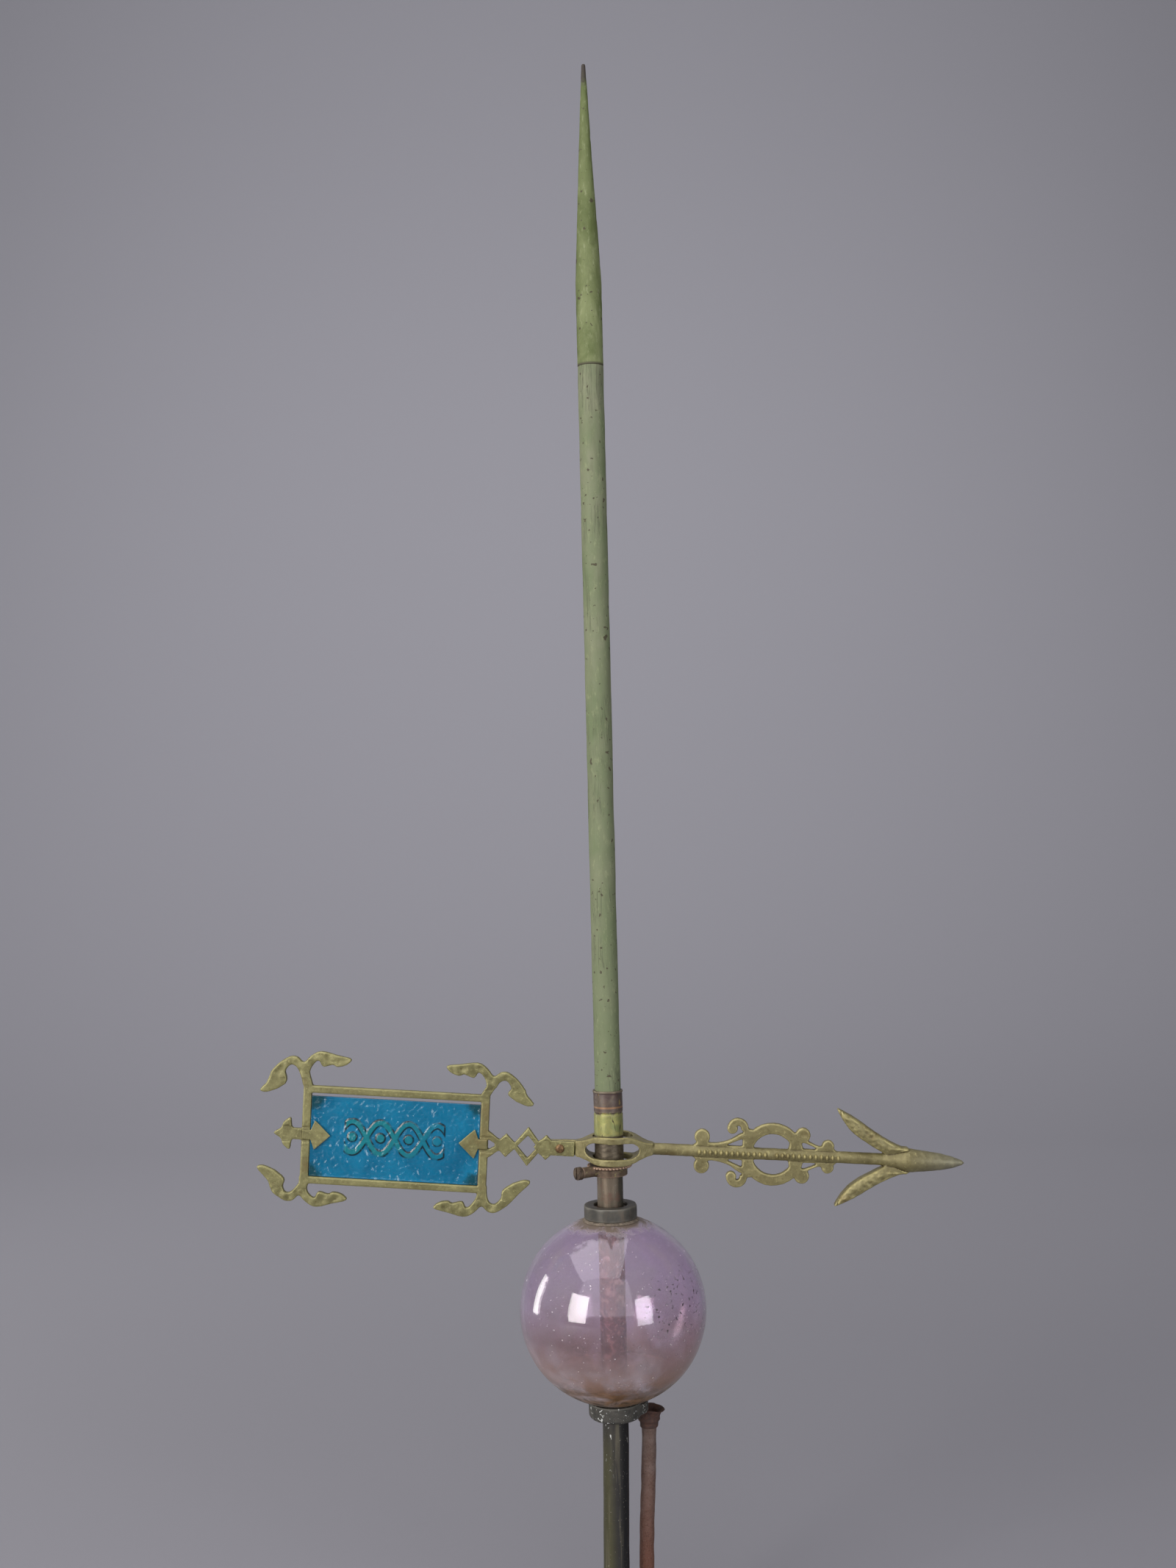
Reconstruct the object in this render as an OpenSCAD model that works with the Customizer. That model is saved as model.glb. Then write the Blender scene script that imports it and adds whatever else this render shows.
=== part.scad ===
// Roof lightning rod: a pointed rod with a glass ball and a loose weathervane arrow
// whose tail frame holds a pane of blue glass. The foot's underside is at z = 0,
// the rod stands on the Z axis and the arrow points along +X.

/* [Rod] */
// Outside diameter of both tubes and of the point's base
tube_d = 15.9; // [12:0.1:18]
// Wall of the tubes
tube_wall = 1.2; // [0.8:0.1:2]
// Height of the joint between the point and the upper tube
point_joint_z = 795; // [600:5:900]
// Length of the solid point above its joint
point_len = 185; // [120:1:240]
// Straight length at the bottom of the point
point_straight = 51; // [10:1:90]
// Diameter of the blunt tip
tip_d = 2.4; // [1:0.2:5]

/* [Glass ball] */
// Outside diameter of the ball
ball_d = 114.3; // [80:0.1:130]
// Height of the ball's centre
ball_z = 219; // [190:1:230]
// Wall of the blown glass
ball_wall = 2.6; // [1.5:0.1:5]
// Wall of the ball's two necks
neck_wall = 3.75; // [2:0.05:6]
// How far each neck stands out of the ball
neck_len = 4.6; // [2:0.1:6]

/* [Ball fittings] */
// Wall of the top cap round the neck; the cup has the same outside
cap_wall = 3.75; // [2.5:0.05:6]
// Height of the top cap
cap_h = 8.2; // [6:0.1:8.2]
// Thickness of the cap's roof
cap_roof_t = 2.3; // [1:0.1:3]
// Free space round the tube in the hole of the cap's roof
cap_play = 2.35; // [1:0.05:4]
// Height of the cup's straight side
cup_side_h = 7.0; // [6.5:0.1:10]
// Height of the rounded underside of the cup
cup_round_h = 3.0; // [2.8:0.1:6]

/* [Coupling and collar] */
// Wall of the coupling sleeve
sleeve_wall = 0.9; // [0.6:0.05:2]
// Length of the coupling sleeve above the hub
sleeve_len = 27.0; // [15:0.5:40]
// Height of the collar above the ball's cap
collar_rise = 18.1; // [12:0.1:40]
// Wall of the collar's body
collar_wall = 2.9; // [2.5:0.05:5]
// How far the collar's flange reaches under the hub's ring
flange_lap = 0.7; // [0.5:0.1:2]
// Height of the collar
collar_h = 6.7; // [6:0.1:10]
// Thickness of the collar's flange
collar_flange_t = 1.7; // [1:0.1:2.5]
// Diameter of the slotted screw head
screw_head_d = 7.8; // [6:0.1:9]
// Compass direction of the collar's boss
screw_angle = 215; // [0:5:360]

/* [Vane] */
// Overall height of the two-ring hub
hub_h = 17.4; // [14:0.1:22]
// Thickness of each ring of the hub
hub_ring_t = 4.0; // [2.5:0.1:5]
// Free space between the bush and the rings, each side
hub_play = 3.4; // [3:0.05:5]
// Radial width of the rings
hub_wall = 2.4; // [1.5:0.1:4]
// How far the loose hub lies off the rod towards the arrow
hub_shift = 2.2; // [0:0.1:2.2]
// Droop of the hub towards the arrow, degrees
vane_droop = 1.2; // [0:0.1:2]
// Further droop of the shaft, degrees
shaft_bend = 2.2; // [0:0.1:4]
// Rise of the tail beyond the hub's own slope, degrees
tail_bend = 2.8; // [0:0.1:4]
// Diameter of the round shaft
shaft_d = 7.2; // [5:0.1:9]
// Distance from the hub's fork to the middle of the scroll plate
scroll_off = 72.5; // [60:0.5:100]
// Distance from the scroll plate to the root of the head
head_off = 82; // [80:0.5:120]
// Length of the solid arrow head in front of the barbs
head_len = 34; // [25:0.5:45]
// Thickness of the barbs
barb_t = 6.4; // [4:0.1:8]
// Thickness of the scroll plate
scroll_t = 3.8; // [2.5:0.1:6]

/* [Tail] */
// Width of the pane's opening
pane_w = 104.8; // [85:0.2:126]
// Height of the pane's opening
pane_h = 51.4; // [40:0.2:60]
// Width of the side bars
side_bar_w = 5.2; // [4:0.1:8]
// Width of the top and bottom bars
cross_bar_w = 4.5; // [3:0.1:7]
// Thickness of the tail casting
tail_t = 3.2; // [2.5:0.1:5]
// Thickness of the glass pane
glass_t = 3.0; // [2:0.1:3.2]
// How far the leaves sit above their places over the corners
leaf_rise = 2; // [0:0.1:2]
// Distance from the hub's left end to the tail rivet
lug_lap = 9.4; // [6:0.1:14]
// Distance from the rivet to the nearer side bar
tail_reach = 44.2; // [40:0.2:56]
// Diameter of the tail rivet's shank
rivet_d = 3.4; // [2.5:0.1:4]

/* [Side rod and foot] */
// Diameter of the side rod
side_rod_d = 9.2; // [6:0.1:10]
// Compass direction from the tube to the side rod
side_angle = 34.2; // [25:0.1:60]
// Gap between the cup and the side rod's flared rim
side_gap = 0.2; // [0.1:0.05:2]
// How far the flared rim lies below the cup's rim
side_rim_drop = 8.6; // [4:0.1:12]
// Diameter of the side rod's flared rim
side_rim_d = 15.6; // [13:0.1:15.8]
// Height of the flare
side_flare_h = 9.2; // [6:0.1:14]
// Diameter of the foot
foot_d = 110; // [95:1:150]
// Thickness of the foot's plate
foot_t = 6; // [5:0.5:10]
// Height of the sockets above the ground
socket_h = 30; // [22:1:40]
// Wall of the sockets
socket_wall = 5; // [4:0.5:7]
// Diameter of the circle of mounting holes
foot_pcd = 90; // [78:1:130]
// Diameter of the mounting holes
foot_hole_d = 6.5; // [4:0.1:9]

/* [Fits] */
// Radial clearance of parts that slide over the tube
slip = 0.05; // [0.02:0.01:0.1]
// Gap between parts that turn against each other
run_gap = 0.35; // [0.3:0.05:0.6]
// Gap of the pane inside its frame, each side
pane_gap = 0.3; // [0.2:0.05:0.6]
// Gap between parts that are laid face to face
lay_gap = 0.05; // [0.02:0.01:0.1]

/* [Hidden] */
$fn = 96;

tube_r = tube_d / 2;
bore_r = tube_r + slip;
tube_in_r = tube_r - tube_wall;
stud_r = tube_in_r - slip;
peg_r = stud_r - 1.5;
ball_r = ball_d / 2;
neck_bore_r = tube_r + 0.7;
neck_r = neck_bore_r + neck_wall;
cap_r = neck_r + slip + cap_wall;
cap_hole_r = tube_r + cap_play;
sleeve_r = bore_r + sleeve_wall;
collar_r = bore_r + collar_wall;
hub_hole_r = sleeve_r + hub_play;
hub_out_r = hub_hole_r + hub_wall;
flange_r = hub_hole_r + flange_lap;

// Heights, from the ball upwards
neck_top_z = ball_z + ball_r + neck_len;
neck_low_z = ball_z - ball_r - neck_len;
cap_roof_z = neck_top_z + lay_gap;
cap_top_z = cap_roof_z + cap_roof_t;
cap_low_z = cap_top_z - cap_h;
collar_low_z = cap_top_z + collar_rise;
collar_top_z = collar_low_z + collar_h;
hub_low_z = collar_top_z + run_gap + (hub_out_r + hub_shift) * sin(vane_droop);
hub_z = hub_low_z + hub_h / 2;
hub_top_z = hub_z + hub_h / 2;
bush_top_z = hub_top_z - 0.5;
sleeve_top_z = hub_top_z + sleeve_len;
tube_joint_z = hub_top_z + sleeve_len / 2;
stud_half = 18;

// Heights, from the ball downwards
packing_floor_t = 0.8;
packing_floor_z = neck_low_z - run_gap - packing_floor_t;
packing_in_r = neck_r + run_gap;
packing_out_r = packing_in_r + 0.6;
cup_in_r = packing_out_r + slip;
cup_rim_z = ball_z - sqrt(ball_r * ball_r - cup_in_r * cup_in_r) - run_gap;
cup_low_z = cup_rim_z - cup_side_h - cup_round_h;
cup_screw_d = 2;
cup_screw_z = (cup_low_z + packing_floor_z) / 2;
foot_floor_z = foot_t - 2;
set_screw_d = 4;
side_rim_z = cup_rim_z - side_rim_drop;
side_dist = cap_r + side_rim_d / 2 + side_gap;
side_rod_x = side_dist * cos(side_angle);
side_rod_y = side_dist * sin(side_angle);

// Lengths along the vane
hub_left_x = hub_shift - hub_out_r - 8.1;
hub_right_x = hub_shift + hub_out_r + 10.1;
rivet_x = lug_lap - hub_left_x;
scroll_x = hub_right_x + scroll_off;
head_x = scroll_x + head_off;

// Height of the ball's surface under or over a point at radius r
function ball_drop(r) = sqrt(ball_r * ball_r - r * r);

// ---------- outlines ----------

function arc(cx, cy, r, a0, a1, n = 16) =
    [for (i = [0:n]) let (a = a0 + (a1 - a0) * i / n) [cx + r * cos(a), cy + r * sin(a)]];

function mirror_y(points) = [for (i = [len(points) - 1:-1:0]) [points[i][0], -points[i][1]]];

// One point of a smooth curve through b and c, with neighbours a and d
function curve_at(a, b, c, d, t) =
    0.5 * (2 * b + (c - a) * t + (2 * a - 5 * b + 4 * c - d) * t * t
    + (3 * b - a - 3 * c + d) * t * t * t);

// Closed smooth outline through the given points
function smooth(p, n = 4) = let (m = len(p)) [
    for (i = [0:m - 1]) for (k = [0:n - 1])
        curve_at(p[(i + m - 1) % m], p[i], p[(i + 1) % m], p[(i + 2) % m], k / n)];

function ease(t) = (1 - cos(180 * min(1, max(0, t)))) / 2;

module arc_band(cx, cy, r, w, a0, a1) {
    polygon(concat(arc(cx, cy, r + w / 2, a0, a1), arc(cx, cy, r - w / 2, a1, a0)));
}

// A flat casting in the vane's own X-Z plane, centred on y
module flat_cast(thickness, y = 0) {
    translate([0, y + thickness / 2, 0]) rotate([90, 0, 0])
        linear_extrude(height = thickness) children();
}

// A round hole or pin along a compass direction, from radius r0 to r1
module radial_rod(angle, z, r0, r1, d) {
    translate([0, 0, z]) rotate([0, 0, angle]) translate([r0, 0, 0]) rotate([0, 90, 0])
        cylinder(d = d, h = r1 - r0);
}

module slotted_screw(angle, z, r_tip, r_seat, shank_d, head_d, head_t) {
    difference() {
        union() {
            radial_rod(angle, z, r_tip, r_seat, shank_d);
            radial_rod(angle, z, r_seat, r_seat + head_t, head_d);
        }
        translate([0, 0, z]) rotate([0, 0, angle])
            translate([r_seat + head_t - 1, -0.6, -head_d / 2 - 1])
                cube([2, 1.2, head_d + 2]);
    }
}

module ring(r_in, r_out, z, h) {
    translate([0, 0, z]) difference() {
        cylinder(r = r_out, h = h);
        translate([0, 0, -1]) cylinder(r = r_in, h = h + 2);
    }
}

// ---------- foot and side rod ----------

module side_place() {
    translate([side_rod_x, side_rod_y, 0]) children();
}

side_socket_h = socket_h - 6;
side_bore_r = side_rod_d / 2 + slip;
post_socket_r = bore_r + socket_wall;
side_socket_r = side_bore_r + socket_wall;
foot_screw_z = foot_t + 10;
set_head_d = 7;
set_head_t = 2.4;

// Cast foot: round plate, two sockets with set-screw holes, four mounting holes
module foot() {
    color("#55524d") difference() {
        union() {
            rotate_extrude() polygon(concat(
                [[0, 0], [foot_d / 2, 0], [foot_d / 2, foot_t - 2]],
                arc(foot_d / 2 - 2, foot_t - 2, 2, 10, 90, 6),
                [[0, foot_t]]));
            cylinder(r = post_socket_r, h = socket_h);
            side_place() cylinder(r = side_socket_r, h = side_socket_h);
        }
        translate([0, 0, foot_floor_z]) cylinder(r = bore_r, h = socket_h);
        side_place() translate([0, 0, foot_floor_z]) cylinder(r = side_bore_r, h = socket_h);
        for (a = [45:90:315]) rotate([0, 0, a]) translate([foot_pcd / 2, 0, -1])
            cylinder(d = foot_hole_d, h = foot_t + 2);
        radial_rod(180, foot_screw_z, 1, post_socket_r + 2, set_screw_d + 2 * slip);
        side_place()
            radial_rod(side_angle, foot_screw_z, 1, side_socket_r + 2, set_screw_d + 2 * slip);
    }
}

// Two set screws that hold the tube and the side rod in the foot
module foot_screws() {
    color("#6b625a") {
        slotted_screw(180, foot_screw_z, tube_r + slip, post_socket_r + 0.3,
            set_screw_d, set_head_d, set_head_t);
        side_place() slotted_screw(side_angle, foot_screw_z, side_rod_d / 2 + slip,
            side_socket_r + 0.3, set_screw_d, set_head_d, set_head_t);
    }
}

module side_rod() {
    color("#7a5a4c") side_place() translate([0, 0, foot_floor_z + lay_gap])
        cylinder(d = side_rod_d, h = side_rim_z - side_flare_h + 2 - foot_floor_z - lay_gap);
}

// Flared cup on the side rod's top end
module side_rod_head() {
    stem_r = side_rod_d / 2 + slip;
    rim_r = side_rim_d / 2;
    low_z = side_rim_z - side_flare_h;
    color("#70483c") side_place() rotate_extrude() polygon([
        [stem_r, low_z - 3], [stem_r + 0.9, low_z - 3], [stem_r + 1.0, low_z],
        [stem_r + 1.8, low_z + side_flare_h * 0.4], [rim_r - 0.8, side_rim_z - 1.8],
        [rim_r, side_rim_z - 0.9], [rim_r, side_rim_z], [rim_r - 1.0, side_rim_z],
        [stem_r + 0.3, low_z + side_flare_h * 0.45], [stem_r, low_z + 2.2]]);
}

// ---------- tubes and point ----------

module lower_tube() {
    color("#6a645a") ring(tube_in_r, tube_r, foot_floor_z + lay_gap,
        tube_joint_z - foot_floor_z - 2 * lay_gap);
}

module upper_tube() {
    color("#8fae7c") ring(tube_in_r, tube_r, tube_joint_z + lay_gap,
        point_joint_z - tube_joint_z - 2 * lay_gap);
}

// Stud inside the coupling that carries both tube ends
module coupling_stud() {
    color("#a08a50") translate([0, 0, tube_joint_z - stud_half])
        cylinder(r = stud_r, h = 2 * stud_half);
}

// Stud that holds the point in the upper tube; its top sits in the point's socket
module point_stud() {
    color("#a08a50") translate([0, 0, point_joint_z - stud_half]) union() {
        cylinder(r = peg_r, h = 2 * stud_half);
        cylinder(r = stud_r, h = stud_half - lay_gap);
    }
}

// Solid tapered point, slightly fuller than a cone
module spire_point() {
    taper = point_len - point_straight;
    tip_r = tip_d / 2;
    color("#93a552") difference() {
        translate([0, 0, point_joint_z]) rotate_extrude() polygon(concat(
            [[0, 0], [tube_r, 0]],
            [for (i = [0:12]) let (t = i / 12)
                [tip_r + (tube_r - tip_r) * pow(1 - t, 0.93), point_straight + (taper - tip_r) * t]],
            arc(0, point_len - tip_r, tip_r, 20, 90, 5)));
        translate([0, 0, point_joint_z - 1])
            cylinder(r = peg_r + slip, h = stud_half + 1 + lay_gap);
    }
}

// Thin sleeve over the joint of the two tubes, with a rolled lip
module coupling_sleeve() {
    lip = 0.35;
    color("#8a8a55") union() {
        ring(bore_r, sleeve_r, bush_top_z + lay_gap, sleeve_top_z - bush_top_z - lay_gap);
        ring(bore_r, sleeve_r + lip, sleeve_top_z - 1.4, 1.4);
    }
}

// Plain bush inside the hub, on which the vane turns
module vane_bush() {
    color("#5c564e") ring(bore_r, sleeve_r - 0.05, collar_top_z + lay_gap,
        bush_top_z - collar_top_z - lay_gap);
}

// ---------- collar ----------

collar_screw_z = collar_low_z + collar_h / 2;
collar_boss_r = collar_r + 9.5;

// Collar under the hub: body, carrying flange and a boss for its screw
module stop_collar() {
    color("#7d6a5c") difference() {
        union() {
            ring(bore_r, collar_r, collar_low_z, collar_h);
            ring(bore_r, flange_r, collar_top_z - collar_flange_t, collar_flange_t);
            difference() {
                radial_rod(screw_angle, collar_screw_z, bore_r + 0.5, collar_boss_r, 6.6);
                translate([0, 0, collar_low_z - 5]) cylinder(r = bore_r, h = collar_h + 10);
            }
        }
        radial_rod(screw_angle, collar_screw_z, 1, collar_boss_r + 2, set_screw_d + 2 * slip);
    }
}

module collar_screw() {
    color("#6e5b4f") slotted_screw(screw_angle, collar_screw_z, tube_r + slip,
        collar_boss_r + 0.3, set_screw_d, screw_head_d, 3);
}

// ---------- ball and its fittings ----------

// Hollow blown ball with a short neck at each end
module glass_ball() {
    color("#b9a3c4", 0.6) translate([0, 0, ball_z]) difference() {
        union() {
            sphere(r = ball_r);
            translate([0, 0, -ball_r - neck_len])
                cylinder(r = neck_r, h = 2 * (ball_r + neck_len));
        }
        difference() {
            sphere(r = ball_r - ball_wall);
            for (s = [-1, 1]) translate([0, 0, s * ball_r])
                cylinder(r = neck_r, h = 2 * ball_wall + 4, center = true);
        }
        cylinder(r = neck_bore_r, h = 3 * ball_r, center = true);
    }
}

// Turned cap over the ball's upper neck
module ball_top_cap() {
    color("#5f6363") difference() {
        ring(cap_hole_r, cap_r, cap_low_z, cap_h);
        translate([0, 0, cap_low_z - 1])
            cylinder(r = neck_r + slip, h = cap_roof_z - cap_low_z + 1);
    }
}

// Dirty packing that fills the gap between the cap and the ball
module top_putty() {
    seat_r = ball_r + slip;
    r_in = neck_r + slip;
    r_out = cap_r + 1.6;
    top = cap_low_z - ball_z - lay_gap;
    color("#8d8070") translate([0, 0, ball_z]) rotate_extrude() polygon(concat(
        arc(0, 0, seat_r, acos(r_out / seat_r), acos(r_in / seat_r), 8),
        [[r_in, top], [cap_r - 0.3, top]]));
}

// Felt-like packing between the lower neck and the cup
module bottom_packing() {
    top_z = ball_z - ball_drop(packing_out_r) - run_gap;
    color("#6f6558") union() {
        ring(bore_r, packing_out_r, packing_floor_z, packing_floor_t);
        ring(packing_in_r, packing_out_r, packing_floor_z, top_z - packing_floor_z);
    }
}

// Lower cup, fixed to the tube, with a lug that reaches the side rod's flare
module ball_cup() {
    side_low = cup_low_z + cup_round_h;
    color("#4c4f4e") difference() {
        union() {
            rotate_extrude() polygon(concat(
                [[bore_r, cup_low_z], [cap_r - cup_round_h - 2, cup_low_z]],
                arc(cap_r - cup_round_h, side_low, cup_round_h, -80, 0, 8),
                [[cap_r, cup_rim_z], [bore_r, cup_rim_z]]));
            translate([0, 0, side_low - 0.5]) linear_extrude(height = cup_rim_z - side_low - 1)
                polygon([[cap_r - 5, -8], [cap_r - 2, -7.5], [side_rod_x - 1.5, -2],
                    [side_rod_x + 0.2, side_rod_y - side_rim_d / 2 - 1],
                    [cap_r - 4, side_rod_y - side_rim_d / 2 - 1.2]]);
        }
        translate([0, 0, packing_floor_z - lay_gap]) cylinder(r = cup_in_r, h = 40);
        radial_rod(180, cup_screw_z, 1, cap_r + 2, cup_screw_d + 2 * slip);
    }
}

// Grub screw that fixes the cup to the tube
module cup_screw() {
    color("#3f3d3a")
        radial_rod(180, cup_screw_z, tube_r + slip, cap_r - 1.2, cup_screw_d);
}

// ---------- vane ----------

module vane_place() {
    translate([0, 0, hub_z]) rotate([0, vane_droop, 0]) children();
}

shaft_start = hub_right_x - 5;
module shaft_place() {
    translate([shaft_start, 0, 0]) rotate([0, shaft_bend, 0]) translate([-shaft_start, 0, 0])
        children();
}

tongue_t = 3.2;
tongue_h = 9.4;
tongue_y = tongue_t / 2;
tail_y = -tail_t / 2 - lay_gap;

// Angle at which a line from (px, py) touches the hub's outer circle
function touch_angle(px, py) = atan2(py, px) + acos(hub_out_r / norm([px, py]));

// Half outline of the hub seen from above, left end to right end
hub_plan = let (
        right = touch_angle(hub_right_x - hub_shift, shaft_d / 2),
        left = touch_angle(-hub_left_x + hub_shift, tongue_t))
    concat([[hub_left_x, tongue_t]],
        arc(hub_shift, 0, hub_out_r, 180 - left, right, 20),
        [[hub_right_x, shaft_d / 2]]);

// Half height of the hub at x, seen from the side
function hub_side(x) = x < hub_shift
    ? tongue_h / 2 + (hub_h - tongue_h) / 2 * ease((x - hub_left_x) / 16)
    : shaft_d / 2 + (hub_h - shaft_d) / 2 * ease((hub_right_x - x) / 17);

// Side opening between the two rings, with rounded ends
module hub_window() {
    half = hub_h / 2 - hub_ring_t;
    round_x = half * 1.4;
    mid_x = hub_hole_r + 4.2 - round_x;
    side = [for (i = [0:12]) let (a = 90 - 15 * i)
        [hub_shift + mid_x + round_x * cos(a), half * sin(a)]];
    polygon(concat(side, [for (p = side) [2 * hub_shift - p[0], -p[1]]]));
}

// Scroll plate, upper half, seen from the side
module scroll_half() {
    x = scroll_x;
    arc_band(x, 0, 15.7, 6.6, 0, 180);
    translate([x - 18.2, 0]) square([5.4, 14.6]);
    translate([x + 10.6, 0]) square([6.4, 12]);
    arc_band(x - 21.4, 14.6, 4.2, 4.6, -20, 185);
    translate([x - 24.8, 14.6]) circle(r = 3.2);
    translate([x - 43, 8.8]) circle(r = 4.7);
    translate([x + 18, 12.4]) circle(r = 4.5);
    translate([x + 33.4, 6.4]) circle(r = 3.7);
    difference() {
        polygon(smooth([[x - 47, 0], [x - 45, 6], [x - 36, 5.4], [x - 27, 7.4], [x - 19, 12],
            [x - 14, 10], [x - 14, 0]], 5));
        polygon([[x - 29, 4.2], [x - 18.4, 8.6], [x - 18.4, 4.2]]);
    }
    difference() {
        polygon(smooth([[x + 12, 0], [x + 12, 11], [x + 20, 9.4], [x + 28, 6.2], [x + 34, 7],
            [x + 39, 0]], 5));
        polygon([[x + 17.2, 4.2], [x + 17.2, 8], [x + 20, 7.6], [x + 28, 4.2]]);
    }
}

// Outline of the upper barb, from the head back to its tip
module barb_outline() {
    x = head_x;
    polygon(concat(
        smooth([[x, 7.3], [x - 5.2, 8.4], [x - 13.8, 12.4], [x - 23, 17.9], [x - 32, 23.8],
            [x - 43, 29.4], [x - 43.2, 27.8], [x - 40, 22.4], [x - 35.6, 17], [x - 30, 12.6],
            [x - 21, 7.2], [x - 14, 3.6], [x - 6, 0], [x, 0]], 3)));
}

// Cast arrow: two-ring hub, tongue for the tail, shaft, scroll plate and barbed head
module vane_arrow() {
    color("#9c9466") vane_place() difference() {
        union() {
            intersection() {
                translate([0, 0, -hub_h]) linear_extrude(height = 2 * hub_h)
                    polygon(concat(hub_plan, mirror_y(hub_plan)));
                flat_cast(4 * hub_out_r) polygon(concat(
                    [for (i = [0:24]) let (x = hub_left_x + (hub_right_x - hub_left_x) * i / 24)
                        [x, hub_side(x)]],
                    [for (i = [24:-1:0]) let (x = hub_left_x + (hub_right_x - hub_left_x) * i / 24)
                        [x, -hub_side(x)]]));
            }
            translate([-rivet_x - 7, 0, -tongue_h / 2])
                cube([rivet_x + 7 + hub_left_x + 1, tongue_t, tongue_h]);
            shaft_place() {
                translate([shaft_start, 0, 0]) rotate([0, 90, 0])
                    cylinder(d = shaft_d, h = head_x - shaft_start + 2);
                flat_cast(scroll_t) union() {
                    scroll_half();
                    mirror([0, 1]) scroll_half();
                }
                flat_cast(barb_t) union() {
                    barb_outline();
                    mirror([0, 1]) barb_outline();
                }
                rotate([0, 90, 0]) rotate_extrude() polygon([
                    [0, head_x - 16], [shaft_d / 2, head_x - 16], [7.0, head_x - 2], [7.2, head_x],
                    [6.2, head_x + head_len * 0.28], [5.0, head_x + head_len * 0.56],
                    [3.4, head_x + head_len * 0.78], [1.5, head_x + head_len * 0.94],
                    [0, head_x + head_len]]);
            }
        }
        translate([hub_shift, 0, -hub_h]) cylinder(r = hub_hole_r, h = 2 * hub_h);
        flat_cast(4 * hub_out_r) hub_window();
        translate([-rivet_x, -1, 0]) rotate([-90, 0, 0])
            cylinder(d = rivet_d + 2 * slip, h = tongue_t + 2);
    }
}

// ---------- tail ----------

// The tail's own frame has its origin at the middle of the pane
half_w = pane_w / 2;
half_h = pane_h / 2;
bar_out = half_w + side_bar_w;
rivet_u = bar_out + tail_reach;

module tail_place() {
    vane_place() translate([-rivet_x, 0, 0]) rotate([0, tail_bend, 0])
        translate([-rivet_u, 0, 0]) children();
}

// The two leaves and their stem over one corner, at +u and +v
module corner_leaves() {
    u = half_w + side_bar_w / 2;
    v = half_h + cross_bar_w;
    polygon(smooth([[u - 2.6, v - 3], [u - 2.8, v + 4], [u - 5.6, v + 9], [u - 8.6, v + 10.6],
        [u - 11, v + 7], [u - 17, v + 8.4], [u - 20, v + 7.2], [u - 25.6, v + 8.6], [u - 28.4, v + 12.2],
        [u - 20, v + 14.2], [u - 9.6, v + 16.4], [u - 3.4, v + 13.6], [u + 1, v + 9.4],
        [u + 5, v + 12.4], [u + 10, v + 12.6], [u + 17, v + 8], [u + 23, v + 1],
        [u + 29.6, v - 6], [u + 26, v - 7.6], [u + 20, v - 5.6], [u + 18, v - 4.6],
        [u + 12.6, v - 0.4], [u + 12.2, v + 4.2], [u + 9, v + 7.6], [u + 5.4, v + 6.4],
        [u + 3.2, v + 2], [u + 2.6, v - 3]], 3));
}

// Finial outside one side bar and the arrowhead that laps over the pane, seen at -u
module finial_outline() {
    polygon(smooth([[-half_w - 1, 3.3], [-bar_out - 5, 3.4], [-bar_out - 6.6, 6], [-bar_out - 7.4, 9.8],
        [-bar_out - 11.4, 7], [-bar_out - 13, 3.2], [-bar_out - 17.4, 0], [-bar_out - 13, -3.2],
        [-bar_out - 11.4, -7], [-bar_out - 7.4, -9.8], [-bar_out - 6.6, -6], [-bar_out - 5, -3.4],
        [-half_w - 1, -3.3]], 3));
}

module pane_arrowhead() {
    polygon([[half_w + side_bar_w - 0.4, 2.9], [half_w - 0.6, 2.9], [half_w - 3, 9], [half_w - 6, 6.4],
        [half_w - 12.8, 0], [half_w - 6, -6.4], [half_w - 3, -9], [half_w - 0.6, -2.9],
        [half_w + side_bar_w - 0.4, -2.9]]);
}

// Star knots, open diamond and lug that reach from the frame to the rivet
module tail_link() {
    star_u = bar_out + 11;
    diamond_u = bar_out + 24.4;
    knot_u = bar_out + 35.6;
    difference() {
        polygon(smooth([[half_w + 1, 9], [bar_out + 1, 7.6], [star_u - 4, 3.4], [star_u + 3, 2.6],
            [star_u + 3, -2.6], [star_u - 4, -3.4], [bar_out + 1, -7.6], [half_w + 1, -9]], 4));
        polygon([[bar_out - 0.2, 3.3], [star_u - 5.2, 0], [bar_out - 0.2, -3.3]]);
    }
    translate([star_u, 0]) rotate(45) square(10.2, center = true);
    difference() {
        polygon([[diamond_u - 9.6, 0], [diamond_u, 12], [diamond_u + 9.4, 0], [diamond_u, -12]]);
        polygon([[diamond_u - 6.4, 0], [diamond_u, 6.9], [diamond_u + 6, 0], [diamond_u, -6.9]]);
    }
    translate([knot_u, 0]) rotate(45) square(10.8, center = true);
    translate([knot_u - 4, -tongue_h / 2 + 0.2])
        square([rivet_u - knot_u + 4 + rivet_x + hub_left_x - 0.5, tongue_h - 0.4]);
}

clip_pin_d = 1.8;

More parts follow.
